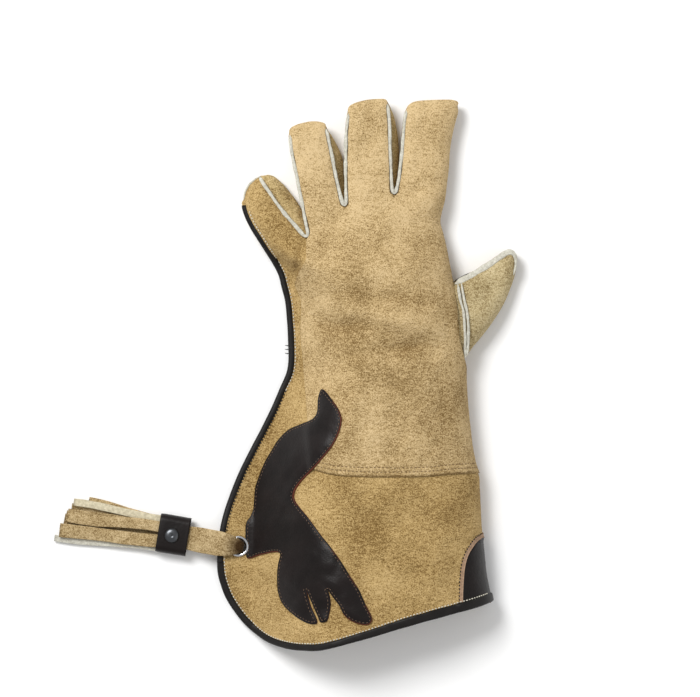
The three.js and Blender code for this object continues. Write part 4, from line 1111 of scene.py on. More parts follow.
class Colours(bpy.types.PropertyGroup):
    """Colours that a maker would change."""

    hand: paint("Hand suede", "Suede of the hand and fingers", "#b2986b")
    cuff: paint("Cuff suede", "Suede of the cuff and the little finger", "#a98d5b")
    thumb: paint("Thumb suede", "Suede of the thumb and the side walls", "#ae9c73")
    tassel: paint("Tassel suede", "Suede of the strap and the strips", "#aa936a")
    dark_leather: paint("Dark leather", "Bird, corner patch and collar", "#120c0b")
    binding: paint("Binding", "Black leather of the bound edges", "#161413")
    welt: paint("Welts", "Raw pale edge of the seam welts", "#cbc9bd")
    thread: paint("Thread", "Sewing thread of the bindings", "#d8d4c4")


def measure(name, description, millimetres):
    """A size that a maker would change."""
    return bpy.props.FloatProperty(name=name, description=description, default=millimetres * MM, unit="LENGTH")


class Sizes(bpy.types.PropertyGroup):
    """Sizes that a maker would change."""

    suede: measure("Suede", "Thickness of the main leather", SUEDE)
    overlay: measure("Overlay suede", "Thickness of the second layer", OVERLAY_SUEDE)
    binding: measure("Binding width", "Width of the black binding", BINDING_WIDTH)
    welt: measure("Welt width", "Width of the pale seam welts", WELT_WIDTH)
    stitch: measure("Stitch length", "Length of one stitch", STITCH_LENGTH)
    pitch: measure("Stitch pitch", "Distance from stitch to stitch", STITCH_PITCH)


def sizes():
    return bpy.context.scene.glove_sizes


class GLOVE_OT_gauntlet(bpy.types.Operator):
    """Build the back and palm of the gauntlet as one folded sheet of suede"""

    bl_idname = "glove.gauntlet"
    bl_label = "Gauntlet suede"

    def execute(self, context):
        verts, faces, _ = gauntlet_surface()
        verts = verts.copy()
        from_eyelet = verts[:, :2] - EYELET_PLAN
        far = np.linalg.norm(from_eyelet, axis=1)
        faces = faces[far[faces].mean(1) > EYELET_CUT]
        near = (far < EYELET_HOLE) & (far > 1)
        verts[near, :2] = EYELET_PLAN + from_eyelet[near] * (EYELET_HOLE / far[near])[:, None]
        # Painted shade and light of the folds: their dents are painted darker and their ridges paler.
        painted_shading = np.where(verts[:, 2] > FOLD_RADIUS, fold_height(verts[:, 0], verts[:, 1]), 0)
        low = -sizes().suede / MM
        made = make_sheet("gauntlet_suede", (verts, faces), 0.0, low, "cuff_suede", "suede_edge", painted_shading)
        settle(made, "under_suede", "back_panel", "palm_panel", "cuff_underside")
        return {"FINISHED"}


class GLOVE_OT_overlay(bpy.types.Operator):
    """Build the second layer of suede over three fingers and the back of the hand"""

    bl_idname = "glove.overlay"
    bl_label = "Hand overlay"

    def execute(self, context):
        flat, faces = fill_outline(overlay_edge(), 2.3, (0.4, 1.0, 2.0, 2.9, 3.6, 4.3, 5.3, 6.1, 6.8, 7.5))
        x, y = flat.T
        verts = raised(flat, upper_height)
        hem, _ = distance(flat, smooth_line(plan(OVERLAY_HEM), 1.5))
        dents = sum(ridge(hem, row, 0.6) for row in HEM_STITCHES)
        pressed = smooth(1 - (right_at(y) - x) / 8) * smooth(1 - (y - OVERLAY_HEM_Y) / 14)
        # Along the hem's edge the overlay thins, and the same band is painted dark as a painted shadow under the
        # edge.
        hem_bevel_and_shade = ridge(hem, 0, 0.9)
        top = 0.2 + sizes().overlay / MM * (1 - 0.5 * pressed - 0.5 * hem_bevel_and_shade) - 0.45 * dents
        # Painted shade: darker in a band along the hem as its shadow and in the stitch dents; the folds are painted
        # darker in dents and paler on ridges.
        painted_shading = fold_height(x, y) - 9 * hem_bevel_and_shade - 1.5 * dents
        made = make_sheet("hand_overlay_suede", (verts, faces), top, 0.2, "hand_suede", "suede_edge", painted_shading)
        settle(made, "tan_suede", "hand_overlay")
        return {"FINISHED"}


class GLOVE_OT_walls(bpy.types.Operator):
    """Build the three side walls between the fingers"""

    bl_idname = "glove.walls"
    bl_label = "Finger side walls"

    def execute(self, context):
        for name, (top, bottom, share) in WALL_PATHS.items():
            rows = 9
            z_top = upper_height(top[:, 0], top[:, 1])
            z_low = palm_height(bottom[:, 0], bottom[:, 1])
            t = np.linspace(0, 1, rows)[None, :, None]
            a = np.column_stack([top, z_top])[:, None, :]
            b = np.column_stack([bottom, z_low])[:, None, :]
            drop = np.maximum(z_top - z_low, 0)[:, None, None]
            out = np.column_stack([unit(bottom - top, 1e-6), np.zeros(len(top))])[:, None, :]
            end = np.minimum(share, 1 - share)
            side = (np.where(share < 0.5, 1.0, -0.35) * smooth(end / 0.06))[:, None, None]
            lean = np.sin(t * math.pi / 2) ** 0.8
            grid = np.concatenate([mix(a[..., :2], b[..., :2], lean), mix(a[..., 2:], b[..., 2:], t)], -1)
            grid = grid + out * side * 0.12 * drop * np.sin(t * math.pi)
            grid[..., 2] += 0.25 * ripple(grid[..., 0], grid[..., 1], 9, 21) * np.sin(t[..., 0] * math.pi)
            n = len(top)
            verts = grid.reshape(-1, 3)
            faces = grid_faces(n, rows)
            inner = -np.repeat(0.1 + 1.3 * smooth(end / 0.1), rows)
            if vertex_normals(verts, faces)[(n // 4) * rows + rows // 2][0] < 0:
                faces = faces[:, ::-1]
            made = make_sheet("side_wall_" + name, (verts, faces), 0.0, inner, "wall_suede", "suede_edge")
            settle(made, "tan_suede", "fourchette_" + name)
        return {"FINISHED"}


def welt_piece(path, ups, width, height, seed):
    """Raw-edged strip of leather standing in a seam; width may change along it."""
    n = len(path)
    wide = np.broadcast_to(width, (n,)) * (1 + 0.2 * soft_noise(n, seed, 4) + 0.12 * soft_noise(n, seed + 50, 2))
    high = height * (1 + 0.2 * soft_noise(n, seed + 1, 5))
    drift = 0.22 * soft_noise(n, seed + 2, 7)
    ends = np.minimum(1, 0.25 + 0.2 * np.minimum(np.arange(n), np.arange(n)[::-1]))

    def section(i):
        loop = rounded_box(wide[i] * ends[i], high[i] * ends[i], 0.3, 2)
        loop[:, 0] += drift[i]
        return loop

    return sweep(path, ups, section)


def upright(path):
    return np.tile((0.0, 0.0, 1.0), (len(path), 1))


def upright_welt(path, width, height, seed):
    return welt_piece(path, upright(path), width, height, seed)


def calmed(line, passes=1):
    """A line with its corners eased."""
    for _ in range(passes):
        padded = np.pad(line, ((1, 1), (0, 0)), mode="edge")
        line = (padded[:-2] + 2 * line + padded[2:]) / 4
    return line


class GLOVE_OT_welts(bpy.types.Operator):
    """Build the pale raw-edged welts in the finger and thumb seams"""

    bl_idname = "glove.welts"
    bl_label = "Seam welts"

    def execute(self, context):
        width = sizes().welt / MM
        for seed, (name, (top, bottom, share)) in enumerate(WALL_PATHS.items()):
            before, after = WELT_TIPS[name]
            ends = [SEAM_LINES[before][-3:-1], SEAM_LINES[after][1:3]]
            line = calmed(inward(np.concatenate([ends[0], top, ends[1]]), -WELT_INSET), 2)
            lift = np.where((line[:, 0] < column_x(300)) & (line[:, 1] < row_y(176)), 1.0, 1.9)
            lift = np.where(np.arange(len(line)) > len(line) / 2, 1.9, lift)
            pieces = [upright_welt(calmed(raised(line, upper_height, lift), 2), width, 2.6, 31 + seed)]
            if name == "pinky_ring":
                path = raised(inward(SEAM_LINES["pinky_tip"], -0.5), upper_height, 0.2)
                pieces.append(upright_welt(path, 1.3, 1.4, 41))
                path = raised(bottom[(share > 0.015) & (share < 0.46)], palm_height, 1.2)
                pieces.append(upright_welt(path, 1.4, 1.8, 43))
            add_solid("welt_strip_" + name, merge_pieces(pieces), "pale_edge", "pale_edge", "welt_" + name)
        return {"FINISHED"}


def thumb_height(x, y, upper=True):
    """Upper or lower surface of the thumb."""
    p = np.stack([x, y], -1)
    outline = thumb_edge()
    d, _ = distance(p, outline, True)
    root = plan((452, 322))
    tip = plan((511, 254))
    along = (tip - root) / np.linalg.norm(tip - root)
    s = ((p - root) @ along) / np.linalg.norm(tip - root)
    high = mix(25.0, 17.0, smooth(s))
    middle = high * 0.5
    t = np.clip(d / mix(15, 9, np.clip(s, 0, 1)), 0, 1)
    dome = np.sqrt(np.clip(1 - (1 - t) ** 2, 0, 1))
    if upper:
        return middle + (high - middle) * dome + 0.35 * ripple(x, y, 15, 12) * dome
    return middle * (1 - dome)


@cached
def thumb_edge():
    return smooth_line(plan(THUMB), 1.3, closed=True)


class GLOVE_OT_thumb(bpy.types.Operator):
    """Build the set-in thumb with its seam and base welts"""

    bl_idname = "glove.thumb"
    bl_label = "Thumb"

    def execute(self, context):
        flat, faces = fill_outline(thumb_edge(), 2.3)
        upper = raised(flat, thumb_height)
        lower = np.column_stack([flat, thumb_height(flat[:, 0], flat[:, 1], False)])
        verts, faces = weld([(upper, faces), (lower, faces[:, ::-1])])
        keep = faces[(verts[faces][:, :, 0].mean(1)) > column_x(447)]
        used = np.unique(keep)
        index = np.full(len(verts), -1)
        index[used] = np.arange(len(used))
        made = make_sheet("thumb_suede", (verts[used], index[keep]), 0.0, -1.9, "thumb_suede", "suede_edge")
        settle(made, "tan_suede", "thumb_back", "thumb_palm")

        seam = smooth_line(plan(THUMB[1:10]), 1.3)
        along = np.linspace(0, 1, len(seam))
        width = mix(4.2, 2.0, smooth((along - 0.66) / 0.2))
        seam = calmed(inward(seam, -width / 2), 2)
        away = unit(np.column_stack([seam - plan((488, 300)), np.full(len(seam), 90.0)]))
        welt = welt_piece(raised(seam, thumb_height, 0.9), away, width, 2.2, 61)
        add_solid("thumb_seam_welt", welt, "pale_edge", "pale_edge", "thumb_welt")

        pieces = []
        for k, pixels in enumerate(THUMB_BASE):
            line = smooth_line(plan(pixels), 1.2)
            path = np.column_stack([line, np.maximum(thumb_height(*line.T), 22.0) + 1.0])
            pieces.append(upright_welt(path, 2.1, 2.2, 71 + k))
        add_solid("thumb_base_welts", merge_pieces(pieces), "pale_edge", "pale_edge", "thumb_base_welt")
        return {"FINISHED"}


def binding_piece(path, normals, width, thickness, seed):
    n = len(path)
    wide = np.broadcast_to(width, (n,)) * (1 + 0.05 * soft_noise(n, seed, 9))
    high = thickness * (1 + 0.06 * soft_noise(n, seed + 1, 7))
    return sweep(path, normals, lambda i: rounded_box(wide[i], high[i], 0.42, 4))


def hem_width(x, width):
    """The hem's binding shows wider towards the thumb's side."""
    return width * (1.06 + 0.36 * smooth((x - column_x(330)) / 70))


def side_path():
    """Middle of the bound outer seam, from beside the little finger to the cuff's corner."""
    y = np.linspace(*map(row_y, SIDE_BINDING_ROWS), 230)
    x = left_at(y) + BINDING_MIDDLE * BINDING_WIDTH
    z = sole_height(x, y) + FLAP_THICKNESS / 2
    return np.column_stack([x, y, z])


def inward(line, distance_in):
    """A plan line moved to its left side."""
    tangent = unit(np.gradient(line, axis=0))
    left = np.column_stack([-tangent[:, 1], tangent[:, 0]])
    return line + left * np.broadcast_to(distance_in, (len(line),))[:, None]


class GLOVE_OT_bindings(bpy.types.Operator):
    """Build the black binding of the outer seam and of the cuff's mouth"""

    bl_idname = "glove.bindings"
    bl_label = "Bindings"

    def execute(self, context):
        width = sizes().binding / MM
        path = side_path()
        side = binding_piece(path, upright(path), width, FLAP_THICKNESS + 2.2, 81)
        add_solid("side_binding_leather", side, "black_binding", "black_binding", "side_binding")

        hem = inward(HEM_LINE, BINDING_MIDDLE * hem_width(HEM_LINE[:, 0], width))
        hem = hem[hem[:, 0] < right_at(hem[:, 1]) - 0.3]
        upper = raised(hem, upper_height)
        lower = raised(hem, palm_height)[::-1]
        turn_y = np.linspace(upper[-1, 1], lower[0, 1], 3)[1:-1]
        corner = np.column_stack([right_at(turn_y), turn_y, np.full(len(turn_y), FOLD_RADIUS)])
        loop = smooth_line(np.concatenate([upper, corner, lower]), 1.6)
        normals = surface_normals(loop, 6)
        for _ in range(3):
            normals = (np.roll(normals, 1, 0) + normals * 2 + np.roll(normals, -1, 0)) / 4
        lift = (1.7 * smooth((loop[:, 0] - column_x(456)) / 4) - 1.0)[:, None]
        hem = binding_piece(loop + normals * lift, normals, hem_width(loop[:, 0], width), 4.2, 91)
        add_solid("hem_binding_leather", hem, "black_binding", "black_binding", "hem_binding")
        return {"FINISHED"}


class GLOVE_OT_appliques(bpy.types.Operator):
    """Build the dark leather bird and the patch on the cuff's corner"""

    bl_idname = "glove.appliques"
    bl_label = "Dark leather pieces"

    def execute(self, context):
        outline = smooth_line(plan(BIRD), 1.2, closed=True)
        flat, faces = fill_outline(outline, 2.2, (0.8, 1.5, 2.6))
        verts = raised(flat, upper_height, over_lift(*flat.T))
        edge, _ = distance(flat, outline, True)
        top = 0.15 + DARK_LEATHER * (0.62 + 0.38 * smooth(edge / 1.4)) - 0.3 * ridge(edge, 1.7, 0.7)
        made = make_sheet("bird_leather", (verts, faces), top, 0.1, "dark_leather", "red_edge")
        middles = flat[faces].mean(1)
        d, at = distance(middles, outline, True)
        nearest = outline[np.minimum((at * len(outline)).astype(int), len(outline) - 1)]
        bare = (d < 0.75) & ((nearest - middles)[:, 0] > 0.35 * d)
        bare &= (middles[:, 1] > row_y(583)) | (middles[:, 0] > column_x(341))
        bare_faces(made, bare)
        settle(made, "dark_leather", "bird_applique")

        side = smooth_line(plan(PATCH), 1.2)
        low = side[-1]
        hem = HEM_LINE[HEM_LINE[:, 0] > low[0] + 0.5]
        side = side[side[:, 1] > hem[0][1] + 0.6]
        top_y = side[0][1]
        fold = edge_points(right_at, HEM_END[1], top_y)
        flat, faces = fill_outline(joined(hem, fold, side), 1.8, PATCH_ROWS)
        under, under_faces = fill_outline(joined(fold, (fold - (15.0, 0))[::-1]), 1.8, PATCH_ROWS)
        upper, lower = raised(flat, upper_height), raised(under, palm_height)
        verts, faces = weld([(upper, faces), (lower, under_faces[:, ::-1])])
        from_side, _ = distance(verts[:, :2], side)
        top = 0.15 + DARK_LEATHER * (0.5 + 0.5 * smooth((from_side - RAW_STRIP + 0.4) / 0.6))
        made = make_sheet("corner_patch_leather", (verts, faces), top, 0.1, "dark_leather", "bare_edge")
        bare_faces(made, distance(verts[faces][:, :, :2].mean(1), side)[0] < RAW_STRIP)
        settle(made, "dark_leather", "corner_patch")
        return {"FINISHED"}


def revolve(profile, centre, turns=64):
    """Closed ring of a (radius, height) loop round an upright axis."""
    points = []
    for i in range(turns):
        a = 2 * math.pi * i / turns
        points += [(centre[0] + r * math.cos(a), centre[1] + r * math.sin(a), z) for r, z in profile]
    points = np.array(points)
    return points, facing_out(points, tube_faces(turns, len(profile), closed=True))


TASSEL_TURN = math.radians(9.5)
OUTWARD = np.array([-math.cos(TASSEL_TURN), math.sin(TASSEL_TURN)])
ACROSS = np.array([math.sin(TASSEL_TURN), math.cos(TASSEL_TURN)])


def tassel_points(rows):
    """Points given from the eyelet as (out, side, up), in the plan's frame."""
    rows = np.asarray(rows, float)
    flat = EYELET_PLAN + rows[:, :1] * OUTWARD + rows[:, 1:2] * ACROSS
    return np.column_stack([flat, rows[:, 2]])


STRAP = [
    # out, up, width
    (58, 10.9, 16), (46, 10.9, 17), (36, 10.9, 18), (24, 12.4, 18.6), (15, 13.2, 18.4), (10, 13.4, 17.4),
    (6, 13.4, 15.4), (3, 13.1, 13.6), (0.4, 12.2, 11.4), (-2, 10.2, 9), (-3, 6.5, 7.6), (-2.2, 2.6, 7.6),
    (-0.4, 1.3, 9), (3, 1.2, 11), (7, 1.2, 13),
    (15, 1.2, 16), (24, 1.3, 16), (36, 4.1, 16), (58, 4.1, 16),
]

# Tassel strips: side and height at the collar, side and height at the cut end, reach, width, finish
STRIPS = [
    (8.0, 3.6, 6.5, 1.2, 70, 9.0, "strip_suede"),
    (0.0, 3.6, -2.5, 1.3, 74, 9.0, "strip_suede"),
    (-8.0, 3.6, -10.0, 1.2, 74, 9.0, "strip_suede"),
    (10.0, 6.2, 14.0, 3.6, 58, 6.5, "strip_suede"),
    (4.5, 6.6, 4.5, 3.8, 72, 6.0, "strip_suede"),
    (-6.0, 6.6, -12.0, 3.6, 76, 6.0, "strip_suede"),
    (-12.2, 6.6, -16.4, 2.4, 79, 4.8, "pale_edge"),
    (11.2, 9.2, 11.8, 5.2, 69, 5.6, "pale_strip"),
    (4.4, 10.0, 1.3, 6.6, 73, 8.5, "strip_suede"),
    (-5.8, 9.8, -10.3, 6.2, 76, 10.0, "strip_suede"),
]


class GLOVE_OT_tassel(bpy.types.Operator):
    """Build the eyelet and the tassel with its strap, collar, rivet and strips"""

    bl_idname = "glove.tassel"
    bl_label = "Eyelet and tassel"

    def execute(self, context):
        low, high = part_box("eyelet")
        z0, z1 = low.z / MM, high.z / MM
        ring = [
            (5.3, z0), (7.8, z0), (7.8, z0 + 0.6), (6.0, z0 + 0.9), (6.0, z1 - 1.2), (7.4, z1 - 1.0),
            (7.9, z1 - 0.75), (7.8, z1 - 0.35), (7.3, z1 - 0.05), (6.7, z1 + 0.1), (6.1, z1 - 0.05),
            (5.6, z1 - 0.6), (5.3, z1 - 1.5),
        ]
        add_solid("steel_eyelet", revolve(ring, EYELET_PLAN), "eyelet_steel", "polished_steel", "eyelet")

        rows = smooth_line([(o, 0, u, w) for o, u, w in STRAP], 1.3)
        path = tassel_points(rows[:, :3])
        path[:, :2] += ACROSS * (0.25 * soft_noise(len(path), 5, 9))[:, None]
        tangent = np.gradient(path, axis=0)
        ups = np.cross(tangent, np.append(ACROSS, 0))
        wide = rows[:, 3] * (1 + 0.03 * soft_noise(len(rows), 6, 6))

        def strap_section(i):
            return rounded_box(wide[i], 2.0, 0.35, 2)

        strap = sweep(path, ups, strap_section)
        add_solid("tassel_strap_suede", strap, "strap_suede", "tan_suede", "tassel_strap")

        sheets = {}
        for k, (side, up, end_side, end_up, reach, width, finish) in enumerate(STRIPS):
            t = np.linspace(0, 1, 34)
            start = 55.0
            out = start + t * (reach + 4)
            bend = 0.7 * np.sin(t * math.pi * (1.1 + 0.1 * k)) * (-1) ** k
            across = mix(side, end_side, smooth(t * 1.05)) + bend
            wave = 0.45 * np.sin(t * 7 + k * 1.9) * t
            height = mix(up, end_up, smooth(t * 1.3)) + np.abs(wave)
            path = tassel_points(np.column_stack([out, across, height]))
            roll = 0.10 * np.sin(t * 4 + k * 2.3) * smooth(t * 3)
            ups = np.column_stack([np.outer(roll, ACROSS), np.ones(len(t))])
            full = width * (0.94 + 0.06 * smooth(t * 2)) * (1 + 0.05 * soft_noise(len(t), 100 + k, 4))

            def strip_section(i, full=full):
                return rounded_box(full[i], 1.7, 0.3, 2)

            sheets.setdefault(finish, []).append(sweep(path, ups, strip_section))
        for finish, name, nodes in (
            ("strip_suede", "tassel_strips", ["tassel_fringe"]),
            ("pale_edge", "tassel_raw_strip", []),
            ("pale_strip", "tassel_pale_strip", []),
        ):
            add_solid(name, merge_pieces(sheets[finish]), finish, "tan_suede", *nodes)

        path = tassel_points([(o, 0.4, 7.5) for o in np.linspace(38.4, 61.4, 20)])
        outer, inner = rounded_box(29, 12.8, 0.42, 6), rounded_box(26, 9.8, 0.42, 6)
        wave = 1 + 0.012 * soft_noise(len(path), 9, 3)
        bodies = [sweep(path, upright(path), lambda i, loop=loop: loop * wave[i])[0] for loop in (outer, inner)]
        n, k = len(path), len(outer)
        outside = tube_faces(n, k)
        faces = outside + [tuple(n * k + i for i in reversed(f)) for f in outside]
        end = (n - 1) * k
        for m in range(k):
            q = (m + 1) % k
            faces.append((q, n * k + q, n * k + m, m))
            faces.append((end + m, n * k + end + m, n * k + end + q, end + q))
        points = np.concatenate(bodies)
        collar = points, facing_out(points, faces)
        add_solid("tassel_collar_leather", collar, "dark_leather", "dark_leather", "tassel_collar")

        low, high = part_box("collar_rivet")
        centre = np.array([(low.x + high.x) / 2, (low.y + high.y) / 2]) / MM - SHIFT + 1.6 * OUTWARD
        top = high.z / MM
        cap = [
            (0.02, top - 2.4), (5.2, top - 2.4), (5.4, top - 1.6), (5.0, top - 0.9), (3.9, top - 0.35),
            (2.2, top - 0.06), (0.02, top),
        ]
        add_solid("gunmetal_rivet", revolve(cap, centre, 48), "gunmetal", "gunmetal", "collar_rivet")
        return {"FINISHED"}


def stitch_tree():
    """Geometry nodes that lay thread stitches along a row."""
    if "Stitch row" in bpy.data.node_groups:
        return bpy.data.node_groups["Stitch row"]
    tree = bpy.data.node_groups.new("Stitch row", "GeometryNodeTree")
    face = tree.interface
    face.new_socket("Geometry", in_out="INPUT", socket_type="NodeSocketGeometry")
    for name, value in (("Pitch", 2.35 * MM), ("Length", 1.45 * MM), ("Thickness", 0.7 * MM)):
        socket = face.new_socket(name, in_out="INPUT", socket_type="NodeSocketFloat")
        socket.default_value = value
        socket.subtype = "DISTANCE"
    face.new_socket("Seed", in_out="INPUT", socket_type="NodeSocketInt")
    face.new_socket("Thread", in_out="INPUT", socket_type="NodeSocketMaterial")
    face.new_socket("Geometry", in_out="OUTPUT", socket_type="NodeSocketGeometry")
    given = tree.nodes.new("NodeGroupInput").outputs
    curve = add_node(tree, "GeometryNodeMeshToCurve", {"Mesh": given["Geometry"]})
    spaced = {"Curve": curve.outputs[0], "Length": given["Pitch"]}
    even = add_node(tree, "GeometryNodeResampleCurve", spaced, mode="LENGTH")
    away = add_node(tree, "GeometryNodeInputNamedAttribute", data_type="FLOAT_VECTOR", in_Name="up")
    tangent = tree.nodes.new("GeometryNodeInputTangent")
    turn = add_node(tree, "FunctionNodeAlignRotationToVector", {"Vector": tangent.outputs[0]}, axis="X")
    turn = add_node(
        tree,
        "FunctionNodeAlignRotationToVector",
        {"Rotation": turn.outputs[0], "Vector": away.outputs[0]},
        axis="Z",
        pivot_axis="X",
    )
    uneven = add_node(tree, "FunctionNodeRandomValue", {"Seed": given["Seed"]}, data_type="FLOAT")
    uneven.inputs[2].default_value = 0.82
    uneven.inputs[3].default_value = 1.1
    long = add_node(tree, "ShaderNodeMath", {0: given["Length"], 1: uneven.outputs[1]}, operation="MULTIPLY")
    scale = add_node(tree, "ShaderNodeCombineXYZ", {0: long.outputs[0], 1: given["Thickness"], 2: given["Thickness"]})
    thread = add_node(tree, "GeometryNodeMeshUVSphere", in_Segments=8, in_Rings=5, in_Radius=0.5)
    placed = add_node(
        tree,
        "GeometryNodeInstanceOnPoints",
        {
            "Points": even.outputs[0],
            "Instance": thread.outputs[0],
            "Rotation": turn.outputs[0],
            "Scale": scale.outputs[0],
        },
    )
    solid = add_node(tree, "GeometryNodeRealizeInstances", {0: placed.outputs[0]})
    coated = add_node(tree, "GeometryNodeSetMaterial", {"Geometry": solid.outputs[0], "Material": given["Thread"]})
    out = tree.nodes.new("NodeGroupOutput")
    tree.links.new(coated.outputs[0], out.inputs[0])
    return tree


def stitch_rows(name, rows, thread, slot, length=None, pitch=None, thickness=0.7, seed=1):
    """One plain mesh of stitches along rows of (points, normals)."""
    mesh = bpy.data.meshes.new(name + "_rows")
    points = np.concatenate([p for p, _ in rows])
    ups = np.concatenate([u for _, u in rows])
    points[:, :2] += SHIFT
    edges, shift = [], 0
    for p, _ in rows:
        edges += [(shift + i, shift + i + 1) for i in range(len(p) - 1)]
        shift += len(p)
    mesh.from_pydata((points * MM).tolist(), edges, [])
    attribute = mesh.attributes.new("up", "FLOAT_VECTOR", "POINT")
    attribute.data.foreach_set("vector", ups.ravel())
    carrier = bpy.data.objects.new(name + "_rows", mesh)
    bpy.context.scene.collection.objects.link(carrier)
    modifier = carrier.modifiers.new("Stitches", "NODES")
    tree = stitch_tree()
    modifier.node_group = tree
    sockets = {s.name: s.identifier for s in tree.interface.items_tree if s.in_out == "INPUT"}
    modifier[sockets["Pitch"]] = pitch * MM if pitch else sizes().pitch
    modifier[sockets["Length"]] = length * MM if length else sizes().stitch
    modifier[sockets["Thickness"]] = thickness * MM
    modifier[sockets["Seed"]] = seed
    modifier[sockets["Thread"]] = material(thread)
    graph = bpy.context.evaluated_depsgraph_get()
    made_mesh = bpy.data.meshes.new_from_object(carrier.evaluated_get(graph))
    made_mesh.name = name
    bpy.data.objects.remove(carrier)
    bpy.data.meshes.remove(mesh)
    if not made_mesh.materials:
        made_mesh.materials.append(material(thread))
    made_mesh.polygons.foreach_set("use_smooth", [True] * len(made_mesh.polygons))
    made = bpy.data.objects.new(name, made_mesh)
    bpy.context.scene.collection.objects.link(made)
    settle(made, slot)


class GLOVE_OT_stitches(bpy.types.Operator):
    """Lay the thread stitches along the bindings, the overlay's hem and the dark leather"""

    bl_idname = "glove.stitches"
    bl_label = "Stitches"

    def execute(self, context):
        width = sizes().binding / MM
        y = np.linspace(*map(row_y, SIDE_STITCH_ROWS), 200)
        side = np.column_stack([left_at(y) + width - 0.1, y])
        hem = inward(HEM_LINE, hem_width(HEM_LINE[:, 0], width) - 0.1)
        hem = hem[(hem[:, 0] < column_x(486)) & (hem[:, 0] > side[-1, 0] + 1)]
        line = smooth_line(joined(side[::4], hem[::4]), 1.5)
        lift = 0.35 + 2.0 * smooth((line[:, 0] - column_x(457)) / 4)
        points, normals = on_back(line, lift)
        thumb_side = 99 * (line[:, 0] > 0)
        first, last = (int(np.argmin(abs(line[:, 1] - row_y(v)) + thumb_side)) for v in BLACK_STITCH_ROWS)
        white = [(points[:first], normals[:first]), (points[last:], normals[last:])]
        stitch_rows("binding_stitches", white, "white_thread", "pale_edge", thickness=0.95)
        dark = [(points[first:last], normals[first:last])]
        stitch_rows("side_binding_stitches", dark, "black_thread", "black_binding", thickness=0.9)

        edge = smooth_line(plan(OVERLAY_HEM), 1.5)
        rows = []
        for inset in HEM_STITCHES:
            line = inward(edge, inset)
            line = line[line[:, 0] < right_at(line[:, 1]) - 1.8]
            rows.append(on_back(line, OVERLAY_SUEDE + 0.05))
        stitch_rows("overlay_stitches", rows, "tan_thread", "pale_edge", 1.9, 3.0, 0.8)

        bird = smooth_line(plan(BIRD), 1.2, closed=True)
        line = inward(bird, -1.7)
        keep = inside(line, bird)
        d, _ = distance(line, bird, True)
        keep &= d > 1.3
        rows, start = [], None
        points, normals = on_back(line, 0.25 + DARK_LEATHER * 0.85)
        points[:, 2] += over_lift(line[:, 0], line[:, 1])
        for i, good in enumerate(np.append(keep, False)):
            if good and start is None:
                start = i
            if not good and start is not None:
                if i - start > 5:
                    rows.append((points[start:i], normals[start:i]))
                start = None
        stitch_rows("bird_stitches", rows, "brown_thread", "dark_leather", 1.7, 2.8, 0.5)

        side = smooth_line(plan(PATCH), 1.2)
        line = inward(side, -0.5)
        stitch_rows("patch_stitches", [on_back(line[1:-2], 0.3)], "black_thread", "dark_leather", 1.7, 2.6, 0.8)

        tails = []
        for v in THREAD_END_ROWS:
            line = plan([(290, v), (287, v + 0.6), (284.6, v + 0.2)])
            path = smooth_line(np.column_stack([line, [7.6, 6.6, 5.8]]), 0.8)
            tails.append(upright_welt(path, 0.9, 0.9, v))
        line = smooth_line(plan([(453.5, 282.2), (463, 276.2), (473, 271.2)]), 1.0)
        tails.append(upright_welt(raised(line, thumb_height, 1.4), 0.9, 0.9, 5))
        add_solid("black_thread_ends", merge_pieces(tails), "black_thread", "black_binding")
        return {"FINISHED"}


FLOOR_HALF = 3.0  # metres, as the next two
FLOOR_Z = -0.0004
CAMERA_HEIGHT = 3.5
SENSOR_MM = 36.0
PHOTO_WIDTH = 700  # pixels


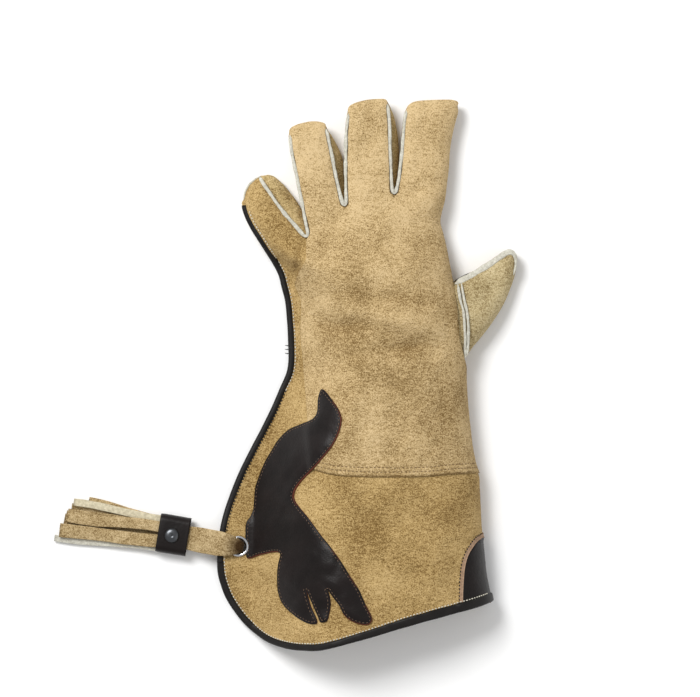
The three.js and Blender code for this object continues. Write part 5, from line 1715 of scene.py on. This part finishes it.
class GLOVE_OT_stage(bpy.types.Operator):
    """Set the pale floor, the soft studio light and the camera of the photograph's view"""

    bl_idname = "glove.stage"
    bl_label = "Stage"

    def execute(self, context):
        scene = bpy.context.scene
        scene.view_settings.view_transform = "Standard"
        mesh = bpy.data.meshes.new("floor")
        corners = [(x * FLOOR_HALF, y * FLOOR_HALF, FLOOR_Z) for x, y in ((-1, -1), (1, -1), (1, 1), (-1, 1))]
        mesh.from_pydata(corners, [], [(0, 1, 2, 3)])
        floor = bpy.data.objects.new("floor", mesh)
        scene.collection.objects.link(floor)
        made, tree, shader, place = new_material("pale floor")
        noise = add_node(tree, "ShaderNodeTexNoise", {"Vector": place}, in_Scale=3.0, in_Detail=2.0)
        tint = ramp_of(tree, noise.outputs[0], ((0.0, linear("#f3f3f2")), (1.0, linear("#fafafa"))))
        tree.links.new(tint, shader.inputs["Base Color"])
        set_inputs(shader, Roughness=0.9)
        mesh.materials.append(made)

        world = scene.world or bpy.data.worlds.new("studio")
        scene.world = world
        world.use_nodes = True
        background = world.node_tree.nodes.get("Background") or world.node_tree.nodes.new("ShaderNodeBackground")
        background.inputs[0].default_value = (1, 1, 1, 1)
        background.inputs[1].default_value = 0.55
        centre = Vector((SHIFT[0] * MM, SHIFT[1] * MM, 0.02))
        for name, offset, size, power in (
            ("key softbox", (-1.1, 1.2, 2.2), 1.1, 66.0),
            ("fill softbox", (1.6, -0.8, 1.8), 2.0, 7.0),
        ):
            light = bpy.data.lights.new(name, "AREA")
            light.shape = "SQUARE"
            light.size = size
            light.energy = power
            lamp = bpy.data.objects.new(name, light)
            lamp.location = centre + Vector(offset)
            lamp.rotation_euler = (-Vector(offset)).to_track_quat("-Z", "Y").to_euler()
            scene.collection.objects.link(lamp)
        camera = bpy.data.cameras.new("camera")
        camera.sensor_fit = "HORIZONTAL"
        camera.sensor_width = SENSOR_MM
        camera.lens = SENSOR_MM * CAMERA_HEIGHT / (PHOTO_WIDTH * PHOTO_MM * MM)
        camera.clip_end = 20.0
        holder = bpy.data.objects.new("camera", camera)
        holder.location = centre + Vector((0, 0, CAMERA_HEIGHT))
        scene.collection.objects.link(holder)
        scene.camera = holder
        return {"FINISHED"}


class GLOVE_PT_panel(bpy.types.Panel):
    """Buttons for each group of pieces"""

    bl_idname = "GLOVE_PT_panel"
    bl_label = "Falconry glove"
    bl_space_type = "VIEW_3D"
    bl_region_type = "UI"
    bl_category = "Glove"

    def draw(self, context):
        layout = self.layout
        for group in (context.scene.glove_sizes, context.scene.glove_colours):
            for name in group.bl_rna.properties.keys():
                if name not in ("rna_type", "name"):
                    layout.prop(group, name)
        for operator in OPERATORS:
            layout.operator(operator.bl_idname)


OPERATORS = (
    GLOVE_OT_stage,
    GLOVE_OT_gauntlet,
    GLOVE_OT_overlay,
    GLOVE_OT_walls,
    GLOVE_OT_welts,
    GLOVE_OT_thumb,
    GLOVE_OT_bindings,
    GLOVE_OT_appliques,
    GLOVE_OT_tassel,
    GLOVE_OT_stitches,
)
CLASSES = (Sizes, Colours) + OPERATORS + (GLOVE_PT_panel,)


def register():
    for kind in CLASSES:
        bpy.utils.register_class(kind)
    bpy.types.Scene.glove_sizes = bpy.props.PointerProperty(type=Sizes)
    bpy.types.Scene.glove_colours = bpy.props.PointerProperty(type=Colours)


def unregister():
    del bpy.types.Scene.glove_sizes
    del bpy.types.Scene.glove_colours
    for kind in reversed(CLASSES):
        bpy.utils.unregister_class(kind)


def main():
    register()
    for operator in OPERATORS:
        call = getattr(bpy.ops.glove, operator.bl_idname.split(".")[1])
        if call() != {"FINISHED"}:
            raise RuntimeError(operator.bl_label + " could not be built")


if __name__ == "__main__":
    main()
